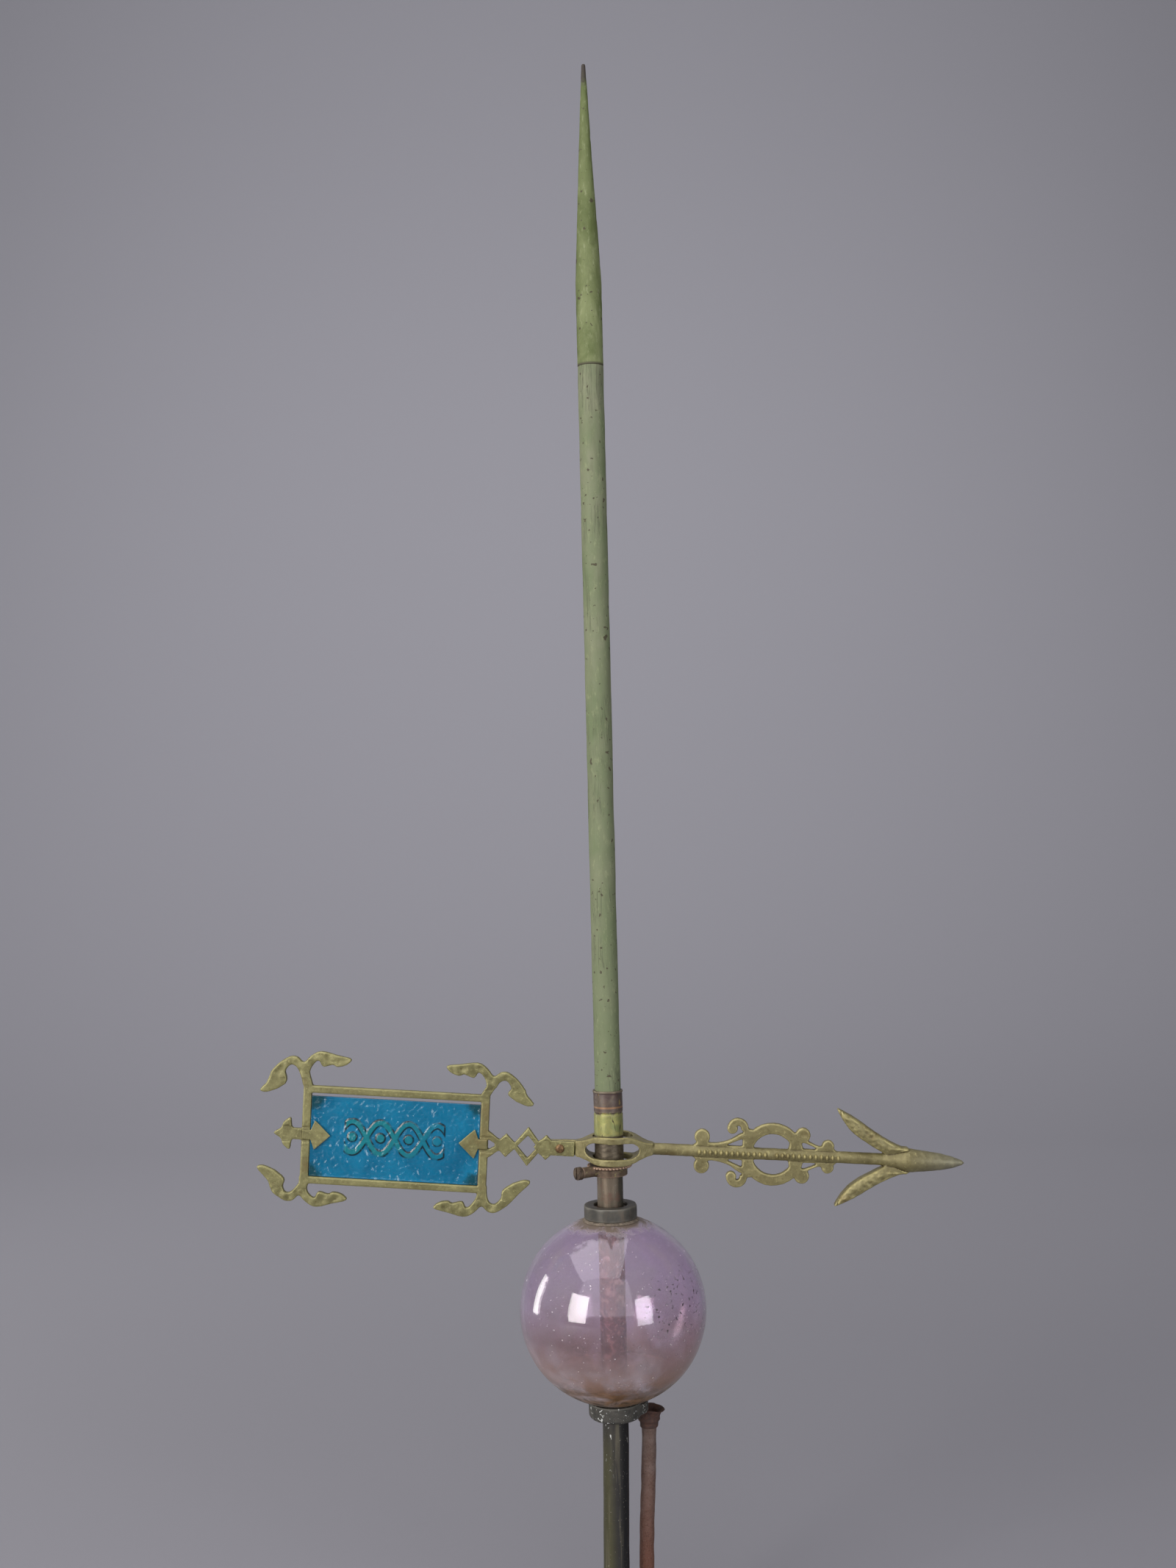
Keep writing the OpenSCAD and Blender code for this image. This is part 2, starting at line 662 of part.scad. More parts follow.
// Cast tail frame: bars, leaves, finial, lapping arrowheads and the link to the hub
module tail_frame() {
    color("#9f9a5e") tail_place() difference() {
        union() {
            flat_cast(tail_t, tail_y) union() {
                difference() {
                    translate([-bar_out, -half_h - cross_bar_w])
                        square([2 * bar_out, 2 * (half_h + cross_bar_w)]);
                    translate([-half_w, -half_h]) square([pane_w, pane_h]);
                }
                translate([0, leaf_rise]) for (sx = [0, 1]) for (sy = [0, 1])
                    mirror([sx, 0]) mirror([0, sy]) corner_leaves();
                finial_outline();
                tail_link();
            }
            for (s = [0, 1]) mirror([s, 0, 0])
                flat_cast(1.1, tail_y - tail_t / 2 - 0.45) pane_arrowhead();
        }
        translate([rivet_u, tail_y - tail_t, 0]) rotate([-90, 0, 0])
            cylinder(d = rivet_d + 2 * slip, h = 2 * tail_t);
        for (s = [-1, 1]) translate([s * (half_w + side_bar_w / 2), tail_y - 0.6, 0])
            rotate([-90, 0, 0]) cylinder(d = clip_pin_d + 2 * slip, h = tail_t);
    }
}

// Rivet through the tail's lug and the hub's tongue
module tail_rivet() {
    front = tail_y - tail_t / 2 - lay_gap;
    back = tongue_t + lay_gap;
    color("#7c6040") vane_place() translate([-rivet_x, 0, 0]) union() {
        translate([0, front - 0.5, 0]) rotate([-90, 0, 0])
            cylinder(d = rivet_d, h = back - front + 1);
        translate([0, front, 0]) rotate([90, 0, 0]) rotate_extrude()
            polygon([[0, 0], [2.8, 0], [2.5, 0.7], [1.6, 1.3], [0, 1.5]]);
        translate([0, back, 0]) rotate([-90, 0, 0]) rotate_extrude()
            polygon([[0, 0], [2.8, 0], [2.5, 0.7], [1.6, 1.3], [0, 1.5]]);
    }
}

module glass_panel() {
    color("#1f78a8") tail_place()
        translate([-half_w + pane_gap, tail_y - tail_t / 2 + 0.15, -half_h + pane_gap])
            cube([pane_w - 2 * pane_gap, glass_t, pane_h - 2 * pane_gap]);
}

clip_t = 0.8;
clip_y = tail_y + tail_t / 2 + lay_gap;

// Flat strips behind the side bars that keep the pane in its frame
module panel_clips() {
    color("#8b8250") tail_place() for (s = [0, 1]) mirror([s, 0, 0]) difference() {
        translate([half_w - 5, clip_y, -3.2]) cube([side_bar_w + 4.2, clip_t, 6.4]);
        translate([half_w + side_bar_w / 2, clip_y - 1, 0]) rotate([-90, 0, 0])
            cylinder(d = clip_pin_d + 2 * slip, h = clip_t + 2);
    }
}

// Small rivets that hold the strips
module clip_rivets() {
    back = clip_y + clip_t + lay_gap;
    color("#7c6040") tail_place() for (s = [-1, 1])
        translate([s * (half_w + side_bar_w / 2), 0, 0]) union() {
            translate([0, tail_y - 0.5, 0]) rotate([-90, 0, 0])
                cylinder(d = clip_pin_d, h = back - tail_y + 0.8);
            translate([0, back, 0]) rotate([-90, 0, 0]) rotate_extrude()
                polygon([[0, 0], [1.8, 0], [1.6, 0.6], [1, 0.95], [0, 1.1]]);
        }
}

foot();
foot_screws();
lower_tube();
side_rod();
side_rod_head();
ball_cup();
cup_screw();
bottom_packing();
glass_ball();
top_putty();
ball_top_cap();
stop_collar();
collar_screw();
vane_bush();
coupling_sleeve();
coupling_stud();
upper_tube();
point_stud();
spire_point();
vane_arrow();
tail_frame();
tail_rivet();
glass_panel();
panel_clips();
clip_rivets();
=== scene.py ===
# Roof lightning rod with a glass ball and a loose weathervane arrow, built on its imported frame.
# The rod stands on the Z axis, the arrow points along +X, and everything is in metres.
import math

import bmesh
import bpy
import numpy as np
from mathutils import Matrix, Vector, kdtree, noise


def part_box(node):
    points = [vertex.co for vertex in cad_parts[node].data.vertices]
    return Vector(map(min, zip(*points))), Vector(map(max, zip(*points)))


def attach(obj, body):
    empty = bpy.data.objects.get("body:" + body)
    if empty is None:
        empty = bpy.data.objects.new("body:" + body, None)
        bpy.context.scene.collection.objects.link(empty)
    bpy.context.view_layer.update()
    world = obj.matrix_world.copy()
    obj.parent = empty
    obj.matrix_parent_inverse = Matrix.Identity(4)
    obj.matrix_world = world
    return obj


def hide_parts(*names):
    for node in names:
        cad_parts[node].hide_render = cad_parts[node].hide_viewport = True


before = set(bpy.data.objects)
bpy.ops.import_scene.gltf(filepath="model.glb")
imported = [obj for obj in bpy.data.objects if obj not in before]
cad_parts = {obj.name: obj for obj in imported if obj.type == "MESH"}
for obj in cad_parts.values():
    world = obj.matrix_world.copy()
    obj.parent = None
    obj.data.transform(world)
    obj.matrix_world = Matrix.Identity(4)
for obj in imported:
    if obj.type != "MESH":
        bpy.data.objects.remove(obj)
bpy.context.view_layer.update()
MM = 0.001


# ---------- camera ----------
# A viewer stands in front with the eye at mid height, so the ball is seen slightly from above.
# The camera is rolled a little, and the rod leans in the picture by the same angle.
EYE_HEIGHT = 0.540
EYE_DISTANCE = 1.11
EYE_LEFT = 0.0076
EYE_AZIMUTH = math.radians(3.0)
ROD_LEAN = math.radians(1.37)
LENS = 41.7

away = Vector((-math.sin(EYE_AZIMUTH), math.cos(EYE_AZIMUTH), 0))
level = Vector((math.cos(EYE_AZIMUTH), math.sin(EYE_AZIMUTH), 0))
sky = Vector((0, 0, 1))
camera = bpy.data.objects.new("camera", bpy.data.cameras.new("camera"))
bpy.context.collection.objects.link(camera)
camera.data.lens = LENS
right = level * math.cos(ROD_LEAN) - sky * math.sin(ROD_LEAN)
up = level * math.sin(ROD_LEAN) + sky * math.cos(ROD_LEAN)
eye = -away * EYE_DISTANCE - level * EYE_LEFT + sky * EYE_HEIGHT
turn = Matrix((right, up, -away)).transposed().to_4x4()
camera.matrix_world = Matrix.Translation(eye) @ turn
bpy.context.scene.camera = camera


# ---------- stage and light ----------
# A grey paper sweep under and behind the rod, bent up far away so that its shade stays even.
# Three windows light the ball, a pale wall and the ceiling fill in, and a wash evens the paper.
SWEEP_FRONT = -3.8
SWEEP_BACK = 3.8
SWEEP_BEND = 2.2
SWEEP_HALF_WIDTH = 4.6
SWEEP_HEIGHT = 4.2
SWEEP_DROP = 0.5 * MM
SWEEP_COLOUR = (135, 134, 141)
BEND_STEPS = 12
WASH_SPREAD = math.radians(100)
ROOM_COLOUR = (0.50, 0.50, 0.52, 1)
ROOM_LIGHT = 0.22


def link_new(name, data):
    """A new object at the origin that shows the mesh or light."""
    made = bpy.data.objects.new(name, data)
    bpy.context.collection.objects.link(made)
    return made


def mesh_piece(name, points, faces):
    """A smooth-shaded piece from points and faces, its normals turned outwards."""
    mesh = bpy.data.meshes.new(name)
    mesh.from_pydata([tuple(p) for p in points], [], faces)
    work = bmesh.new()
    work.from_mesh(mesh)
    bmesh.ops.recalc_face_normals(work, faces=work.faces)
    work.to_mesh(mesh)
    work.free()
    mesh.shade_smooth()
    return link_new(name, mesh)


def linear(colour):
    """A 0-255 screen colour as scene-linear values with alpha 1."""
    shares = [c / 255 for c in colour]
    return tuple(s / 12.92 if s <= 0.04045 else ((s + 0.055) / 1.055) ** 2.4 for s in shares) + (1,)


class Finish:
    """A material being mixed; each method adds a node and gives back its output."""

    def __init__(self, name):
        self.material = bpy.data.materials.new(name)
        self.material.use_nodes = True
        self.tree = self.material.node_tree
        self.shader = self.tree.nodes["Principled BSDF"]
        self.place = self.tree.nodes.new("ShaderNodeTexCoord").outputs["Object"]
        self.colour = None
        self.cloud = None

    def feed(self, socket, value):
        if isinstance(value, bpy.types.NodeSocket):
            self.tree.links.new(value, socket)
        elif isinstance(value, tuple) and len(value) == 3 and socket.type == "RGBA":
            socket.default_value = linear(value)
        else:
            socket.default_value = value

    def node(self, kind, inputs, **settings):
        made = self.tree.nodes.new(kind)
        for key, value in settings.items():
            setattr(made, key, value)
        for key, value in inputs.items():
            self.feed(made.inputs[key], value)
        return made

    def stretched(self, x, y, z, angle=0.0):
        """The piece's own coordinates, scaled along each axis to draw the grain out."""
        inputs = {"Vector": self.place, "Scale": (x, y, z), "Rotation": (0, angle, 0)}
        return self.node("ShaderNodeMapping", inputs).outputs["Vector"]

    def noise(self, scale, detail=4.0, rough=0.55, warp=0.0, at=None):
        inputs = {"Vector": at or self.place, "Scale": scale, "Detail": detail,
                  "Roughness": rough, "Distortion": warp}
        return self.node("ShaderNodeTexNoise", inputs).outputs["Fac"]

    def mask(self, value, low, high):
        """0 at low and 1 at high, clamped; low may be the larger."""
        inputs = {"Value": value, "From Min": low, "From Max": high}
        return self.node("ShaderNodeMapRange", inputs).outputs["Result"]

    def maths(self, kind, first, second=0.0):
        return self.node("ShaderNodeMath", {0: first, 1: second}, operation=kind).outputs["Value"]

    def specks(self, low, high, *noise_inputs):
        """A mask of one noise."""
        return self.mask(self.noise(*noise_inputs), low, high)

    def times(self, first, second):
        return self.maths("MULTIPLY", first, second)

    def plus(self, first, second):
        return self.maths("ADD", first, second)

    def minus(self, first, second):
        return self.maths("SUBTRACT", first, second)

    def larger(self, first, second):
        return self.maths("MAXIMUM", first, second)

    def mix(self, share, first, second):
        made = self.node("ShaderNodeMix", {}, data_type="RGBA")
        self.feed(made.inputs["Factor"], share)
        self.feed(made.inputs[6], first)
        self.feed(made.inputs[7], second)
        return made.outputs[2]

    def band(self, value, start, full, still_full, end):
        """0 at start, 1 from full to still_full and 0 again at end."""
        return self.times(self.mask(value, start, full), self.mask(value, end, still_full))

    def axis(self, letter):
        """One of the piece's own coordinates, in metres."""
        return self.node("ShaderNodeSeparateXYZ", {"Vector": self.place}).outputs[letter]

    def stored(self, name):
        """A number stored on the piece's points."""
        return self.node("ShaderNodeAttribute", {}, attribute_name=name).outputs["Fac"]

    def worn(self, low, high):
        """A mask of the wear that mark_wear stores: worn edges above 0, dirty hollows below."""
        return self.mask(self.stored("wear"), low, high)

    def ground(self, share, first, second):
        """The first coat of colour, mixed from two."""
        self.colour = self.mix(share, first, second)

    def lay(self, share, colour, most=1.0):
        """Lays a colour over the coats so far; most is its strength where share is 1."""
        if most < 1:
            share = self.times(share, most)
        self.colour = self.mix(share, self.colour, colour)

    def bump(self, height, depth):
        made = self.node("ShaderNodeBump", {"Height": height, "Distance": depth, "Strength": 1.0})
        self.feed(self.shader.inputs["Normal"], made.outputs["Normal"])

    def sheen(self, **inputs):
        """Sets the shader's sockets."""
        for name, value in inputs.items():
            self.feed(self.shader.inputs[name.replace("_", " ")], value)

    def coat_with(self, piece, **inputs):
        """Puts the material on the piece, in the coats of colour laid so far unless one is given."""
        inputs.setdefault("Base_Color", self.colour)
        self.sheen(**inputs)
        piece.data.materials.clear()
        piece.data.materials.append(self.material)


bend = [(SWEEP_BACK - SWEEP_BEND * (1 - math.sin(a)), SWEEP_BEND * (1 - math.cos(a)))
        for a in (math.pi / 2 * i / BEND_STEPS for i in range(BEND_STEPS + 1))]
sweep_line = [(SWEEP_FRONT, 0)] + bend + [(SWEEP_BACK, SWEEP_HEIGHT)]
sweep_points = [(x, y, z - SWEEP_DROP) for y, z in sweep_line
                for x in (-SWEEP_HALF_WIDTH, SWEEP_HALF_WIDTH)]
sweep_faces = [(2 * i, 2 * i + 1, 2 * i + 3, 2 * i + 2) for i in range(len(sweep_line) - 1)]
sweep = mesh_piece("paper_sweep", sweep_points, sweep_faces)
paper = Finish("sweep_paper")
paper.bump(paper.noise(900, 3), 0.05 * MM)
paper.coat_with(sweep, Base_Color=SWEEP_COLOUR, Roughness=0.9)


def soft_light(name, place, target, width, height, power, colour):
    """A rectangular area light at a place, turned to its target."""
    lamp = bpy.data.lights.new(name, "AREA")
    lamp.shape = "RECTANGLE"
    lamp.size = width
    lamp.size_y = height
    lamp.energy = power
    lamp.color = colour
    made = link_new(name, lamp)
    aim = (Vector(target) - Vector(place)).to_track_quat("-Z", "Y")
    made.matrix_world = Matrix.Translation(place) @ aim.to_matrix().to_4x4()
    made.visible_camera = False
    return made


# Each light's place, target, width and height are in metres, and its power is in watts.
BALL_PLACE = (0, 0, 0.219)
soft_light("left_window", (-1.42, -1.60, 0.70), BALL_PLACE, 0.88, 1.12, 27, (1.0, 0.97, 0.93))
soft_light("right_window", (1.42, -1.60, 0.50), BALL_PLACE, 0.78, 1.30, 14, (0.96, 0.98, 1.0))
soft_light("side_window", (-1.60, 0.45, 0.42), BALL_PLACE, 0.30, 0.90, 5.5, (1.0, 1.0, 0.94))
soft_light("pale_wall", (-0.40, -1.75, 1.42), (-0.40, 0, 1.42), 2.7, 1.95, 19, (1.0, 0.98, 1.0))
soft_light("ceiling", (-0.65, -0.35, 2.4), (-0.65, -0.35, 0), 2.4, 2.75, 40, (1.0, 0.98, 1.0))
wall_wash = soft_light("wall_wash", (-0.5, -0.6, 3.3), (-0.4, 3.8, 1.4), 3.4, 0.8, 68, (1.0, 1.0, 1.0))
wall_wash.data.spread = WASH_SPREAD
wall_wash.visible_glossy = False
wall_wash.visible_transmission = False
world = bpy.data.worlds.new("room")
world.use_nodes = True
room = world.node_tree.nodes["Background"].inputs
room["Color"].default_value = ROOM_COLOUR
room["Strength"].default_value = ROOM_LIGHT
bpy.context.scene.world = world
bpy.context.scene.view_settings.view_transform = "Standard"


# ---------- foot ----------
# Round grey iron casting, bolted down, with a socket each for the tube and the side rod.
# Its edges are rounded by the mould, and it has rusted where water stands.
MERGE_GAP = 1e-6
FLAT_ANGLE = math.radians(2)


def merged_copy(name, node, flats_joined=False):
    """The CAD node's loose triangles merged to one skin, and its flat faces joined if asked."""
    piece = link_new(name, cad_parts[node].data.copy())
    work = bmesh.new()
    work.from_mesh(piece.data)
    bmesh.ops.remove_doubles(work, verts=work.verts, dist=MERGE_GAP)
    if flats_joined:
        bmesh.ops.dissolve_limit(work, angle_limit=FLAT_ANGLE, verts=work.verts, edges=work.edges)
    else:
        bmesh.ops.recalc_face_normals(work, faces=work.faces)
    work.to_mesh(piece.data)
    work.free()
    return piece


def settle(piece):
    """Turns what the piece's modifiers show into its plain mesh."""
    bpy.context.view_layer.update()
    shown = piece.evaluated_get(bpy.context.evaluated_depsgraph_get())
    piece.data = bpy.data.meshes.new_from_object(shown)
    piece.modifiers.clear()


def cast_copy(name, node, voxel, rounds):
    """The CAD node's shape as a sand casting: remeshed finely, with its edges melted soft."""
    piece = merged_copy(name, node)
    remesh = piece.modifiers.new("remesh", "REMESH")
    remesh.mode = "VOXEL"
    remesh.voxel_size = voxel
    smooth = piece.modifiers.new("smooth", "SMOOTH")
    smooth.iterations = rounds
    smooth.factor = 0.5
    settle(piece)
    piece.data.shade_smooth()
    return piece


def neighbour_mean(values, pairs, count):
    """Each point's mean over its neighbours."""
    total = np.zeros_like(values)
    np.add.at(total, pairs[:, 0], values[pairs[:, 1]])
    np.add.at(total, pairs[:, 1], values[pairs[:, 0]])
    return total / count


def store(piece, name, values):
    """Stores one number for each point of the piece."""
    layer = piece.data.attributes.new(name, "FLOAT", "POINT")
    layer.data.foreach_set("value", np.asarray(values, np.float32))


def point_arrays(piece):
    """The piece's points and normals as arrays."""
    mesh = piece.data
    places = np.empty(len(mesh.vertices) * 3, np.float32)
    normals = np.empty(len(mesh.vertices) * 3, np.float32)
    mesh.vertices.foreach_get("co", places)
    mesh.vertices.foreach_get("normal", normals)
    return places.reshape(-1, 3).astype(float), normals.reshape(-1, 3).astype(float)


def mark_wear(piece, reach):
    """Stores, in mm, how far each point stands out: worn edges above 0, dirty hollows below."""
    places, normals = point_arrays(piece)
    pairs = np.empty(len(piece.data.edges) * 2, np.int64)
    piece.data.edges.foreach_get("vertices", pairs)
    pairs = pairs.reshape(-1, 2)
    count = np.maximum(np.bincount(pairs.ravel(), minlength=len(places)), 1)[:, None]
    blurred = places.copy()
    for _ in range(reach):
        blurred = (blurred + neighbour_mean(blurred, pairs, count)) / 2
    store(piece, "wear", ((places - blurred) * normals).sum(1) / MM)


def stand_in(piece, body, slot, *nodes):
    """The piece rides on the body and shows instead of the CAD nodes; slot is not used."""
    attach(piece, body)
    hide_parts(*nodes)


foot = cast_copy("foot_casting", "foot", 0.9 * MM, 3)
mark_wear(foot, 6)
iron = Finish("rusty_iron")
iron_rust = iron.specks(0.47, 0.66, 70, 6, 0.65)
iron.ground(iron.noise(300, 5), (66, 62, 58), (92, 86, 78))
iron.lay(iron_rust, (108, 66, 44))
iron.lay(iron.worn(0.04, 0.30), (128, 122, 112))
iron.bump(iron.noise(700, 6, 0.6), 0.25 * MM)
iron.coat_with(foot, Metallic=0.45, Roughness=iron.mask(iron_rust, -1.3, 1.4))
stand_in(foot, "mast", "foot_iron", "foot")


# ---------- screws ----------
# Slotted steel screws: two in the foot's sockets and a grub screw inside the cup.
# They clamp the tube and the side rod, and are dark with old rust.
def eased_copy(name, node, width):
    """The CAD node's shape with every hard edge eased by a small bevel."""
    piece = merged_copy(name, node, True)
    bevel = piece.modifiers.new("ease", "BEVEL")
    bevel.width = width
    bevel.segments = 3
    bevel.limit_method = "ANGLE"
    bevel.angle_limit = math.radians(35)
    settle(piece)
    piece.data.shade_smooth()
    return piece


steel = Finish("screw_steel")
steel_dirt = steel.specks(0.42, 0.62, 420, 5)
steel.ground(steel_dirt, (112, 102, 92), (78, 56, 42))
steel.bump(steel.noise(1600, 4), 0.06 * MM)
for screw_node in ("foot_screws", "cup_screw"):
    screws = eased_copy(screw_node + "_eased", screw_node, 0.25 * MM)
    steel.coat_with(screws, Metallic=0.7, Roughness=steel.mask(steel_dirt, -1.0, 1.6))
    stand_in(screws, "mast", "screw_steel", screw_node)


# ---------- tubes ----------
# Two thin-walled drawn tubes meet inside the coupling, each slid into its socket or sleeve.
# The lower one is dull and stained, brown inside the ball, with old paint splashed under the cup.
TUBE_WALL = 1.2 * MM
LIP_ROUND = 0.35 * MM


def rounded(section, radius, closed):
    """The section with each inner corner turned into a small arc."""
    made = []
    count = len(section)
    for i, (r, z) in enumerate(section):
        if not closed and i in (0, count - 1):
            made.append((r, z))
            continue
        here = Vector((r, z))
        before = Vector(section[i - 1]) - here
        after = Vector(section[(i + 1) % count]) - here
        cut = min(radius, before.length * 0.45, after.length * 0.45)
        start = here + before.normalized() * cut
        end = here + after.normalized() * cut
        for t in (0, 0.25, 0.5, 0.75, 1):
            spot = start * (1 - t) ** 2 + here * (2 * t * (1 - t)) + end * t * t
            made.append((spot.x, spot.y))
    return made


def with_steps(section, step, closed):
    """The section with long runs divided, so that dents have points to move."""
    made = []
    count = len(section)
    for i in range(count if closed else count - 1):
        (r0, z0), (r1, z1) = section[i], section[(i + 1) % count]
        parts = max(1, math.ceil(math.hypot(r1 - r0, z1 - z0) / step))
        made += [(r0 + (r1 - r0) * k / parts, z0 + (z1 - z0) * k / parts) for k in range(parts)]
    return made if closed else made + [section[-1]]


def soft_section(section, radius, step, closed=True):
    """The section with round corners and with points along its runs."""
    return with_steps(rounded(section, radius, closed), step, closed)


def lathe(name, section, closed, turns=96, shape=None, centre=(0, 0)):
    """A section of (radius, height) turned round an upright axis; shape(point, angle) may dent it."""
    points = []
    rows = []
    for r, z in section:
        row = []
        for k in range(1 if r < 1e-7 else turns):
            angle = 2 * math.pi * k / turns
            spot = Vector((r * math.cos(angle), r * math.sin(angle), z))
            if shape:
                spot = shape(spot, angle)
            row.append(len(points))
            points.append(spot + Vector((centre[0], centre[1], 0)))
        rows.append(row)
    faces = []
    for i in range(len(rows) if closed else len(rows) - 1):
        low, high = rows[i], rows[(i + 1) % len(rows)]
        for k in range(turns):
            j = (k + 1) % turns
            if len(low) == 1:
                faces.append((low[0], high[j], high[k]))
            elif len(high) == 1:
                faces.append((low[k], low[j], high[0]))
            else:
                faces.append((low[k], low[j], high[j], high[k]))
    return mesh_piece(name, points, faces)


def outward(angle):
    """The direction away from the axis at an angle round it."""
    return Vector((math.cos(angle), math.sin(angle), 0))


def dented(depth, size, seed):
    """A shape function that dents a turned piece with smooth noise, across the axis only."""
    def shape(spot, angle):
        reach = noise.noise(Vector((spot.x, spot.y, spot.z * 0.6)) / size + Vector((seed, 0, 0)))
        return spot + outward(angle) * depth * min(0.0, reach - 0.1)
    return shape


def radius_of(node):
    """Half the width of a round node's box."""
    low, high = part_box(node)
    return (high.x - low.x) / 2


def tube_section(node, wall, step):
    """The closed section of a plain tube that fills the node's box."""
    low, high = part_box(node)
    outside = radius_of(node)
    ring = [(outside, low.z), (outside, high.z), (outside - wall, high.z), (outside - wall, low.z)]
    return soft_section(ring, LIP_ROUND, step)


BOW_LOW = 0.028
BOW_PEAK = 0.052
BOW_HIGH = 0.150


def bowed(amount, dents):
    """A shape function that bows a long piece towards -X just above the foot, over its dents."""
    def shape(spot, angle):
        below = (spot.z - BOW_LOW) / (BOW_PEAK - BOW_LOW)
        above = (BOW_HIGH - spot.z) / (BOW_HIGH - BOW_PEAK)
        share = min(1.0, max(0.0, min(below, above)))
        return dents(spot, angle) - Vector((amount * share * share * (3 - 2 * share), 0, 0))
    return shape


# Heights at which the lower tube's stains change
CUP_FOOT_Z = 0.150
BALL_FLOOR_Z = 0.160
BALL_ROOF_Z = 0.272
SPLASH_Z = 0.118
POST_DENTS = dented(0.25 * MM, 12 * MM, 3.0)
lower_tube = lathe("lower_tube_drawn", tube_section("lower_tube", TUBE_WALL, 2.5 * MM), True,
                   64, bowed(1.55 * MM, POST_DENTS))
dull = Finish("dull_stained_tube")
dull_streak = dull.noise(95, 5, 0.6, 0.3, dull.stretched(1, 1, 0.16))
dull_blotch = dull.noise(130, 5, 0.6)
dull.ground(dull.mask(dull_streak, 0.36, 0.62), (74, 70, 60), (124, 110, 94))
dull.lay(dull.mask(dull_blotch, 0.50, 0.68), (108, 84, 72))
height = dull.axis("Z")
below_cup = dull.mask(height, CUP_FOOT_Z + 8 * MM, CUP_FOOT_Z)
dull.lay(below_cup, (62, 60, 58))
# Painted light below the cup, picked by the noisy X position: a yellow-green painted highlight runs down
# the left side just under the cup.
light_side_x = dull.plus(dull.axis("X"), dull.times(dull_streak, 6 * MM))
painted_left_highlight = dull.mask(height, CUP_FOOT_Z + 2 * MM, CUP_FOOT_Z - 20 * MM)
painted_left_highlight = dull.times(painted_left_highlight, dull.mask(light_side_x, 3.0 * MM, -2.5 * MM))
dull.lay(painted_left_highlight, (80, 78, 56))
# Painted shade: the right side of the tube below the cup is laid near-black.
painted_right_shade = dull.times(below_cup, dull.mask(light_side_x, 3.5 * MM, 7.5 * MM))
dull.lay(painted_right_shade, (30, 30, 32), 0.85)
# Painted reflection: pale upright streaks laid on the tube below the cup.
painted_reflection_streak = dull.noise(150, 4, 0.6, 0.2, dull.stretched(1.4, 1.4, 0.07))
painted_reflection_streak = dull.times(below_cup, dull.mask(painted_reflection_streak, 0.56, 0.66))
dull.lay(painted_reflection_streak, (128, 122, 102), 0.45)
inside_ball = dull.band(height, BALL_FLOOR_Z, BALL_FLOOR_Z + 12 * MM, BALL_ROOF_Z - 10 * MM, BALL_ROOF_Z)
dull.lay(inside_ball, (120, 58, 38), 0.8)
residue = dull.noise(210, 5, 0.7, 0.6)
residue_light = dull.times(inside_ball, dull.mask(residue, 0.50, 0.60))
residue_dark = dull.times(inside_ball, dull.mask(residue, 0.44, 0.34))
dull.lay(residue_light, (196, 146, 128), 0.6)
dull.lay(residue_dark, (84, 36, 28), 0.7)
dull_speck = dull.specks(0.66, 0.72, 900, 3)
dull.lay(dull_speck, (168, 160, 146), 0.6)
splash = dull.noise(260, 4, 0.6, 1.2, dull.stretched(1.2, 1.2, 0.5))
splash_zone = dull.band(height, SPLASH_Z, SPLASH_Z + 17 * MM, CUP_FOOT_Z - 1 * MM, CUP_FOOT_Z + 3 * MM)
dull.lay(dull.times(dull.mask(splash, 0.66, 0.68), splash_zone), (196, 198, 194))
dull.bump(dull.plus(dull_blotch, dull.times(dull_streak, 0.6)), 0.18 * MM)
dull.coat_with(lower_tube, Metallic=0.55, Roughness=dull.mask(dull_blotch, -0.5, 1.5))
stand_in(lower_tube, "mast", "dull_tube", "lower_tube")

# The upper tube has gone green all over, with dark upright cracks, streaks and brown nicks.
upper_tube = lathe("upper_tube_drawn", tube_section("upper_tube", TUBE_WALL, 3.0 * MM), True,
                   64, dented(0.35 * MM, 11 * MM, 8.0))


def verdigris(name, light, deep, top_z, low_z, streaky):
    """Green patina that deepens from top_z to low_z; streaky is the share of cracks and streaks."""
    green = Finish(name)
    cloud = green.noise(60, 6, 0.62, 0.4, green.stretched(1, 1, 0.45))
    fine = green.noise(420, 5, 0.7, 0.0, green.stretched(1, 1, 0.35))
    green.ground(green.mask(cloud, 0.34, 0.66), light, deep)
    green.lay(green.mask(green.axis("Z"), top_z, low_z), deep, 0.6)
    green.lay(green.mask(fine, 0.55, 0.80), (150, 156, 120))
    streak = green.noise(190, 5, 0.6, 0.8, green.stretched(1, 1, 0.09))
    green.lay(green.times(green.mask(streak, 0.54, 0.72), streaky), (84, 86, 62))
    vein = green.noise(110, 6, 0.7, 1.5, green.stretched(1, 1, 0.06))
    crack = green.maths("ABSOLUTE", green.minus(vein, 0.5))
    patch = green.specks(0.48, 0.60, 34, 3)
    crack = green.times(green.mask(crack, 0.022, 0.006), green.times(patch, 1.6 * streaky))
    green.lay(crack, (52, 48, 38))
    nick = green.specks(0.665, 0.685, 280, 2, 0.5)
    green.lay(nick, (66, 56, 40), 0.85)
    relief = green.plus(cloud, green.times(fine, 0.5))
    relief = green.minus(relief, green.times(crack, 0.6))
    relief = green.minus(relief, green.times(nick, 0.3))
    green.bump(relief, 0.18 * MM)
    green.sheen(Roughness=green.mask(fine, -1.1, 1.2))
    return green


tube_green = verdigris("verdigris_tube", (129, 131, 106), (106, 118, 84), 0.78, 0.36, 0.26)
tube_green.coat_with(upper_tube, Metallic=0.12)
stand_in(upper_tube, "mast", "green_tube", "upper_tube")


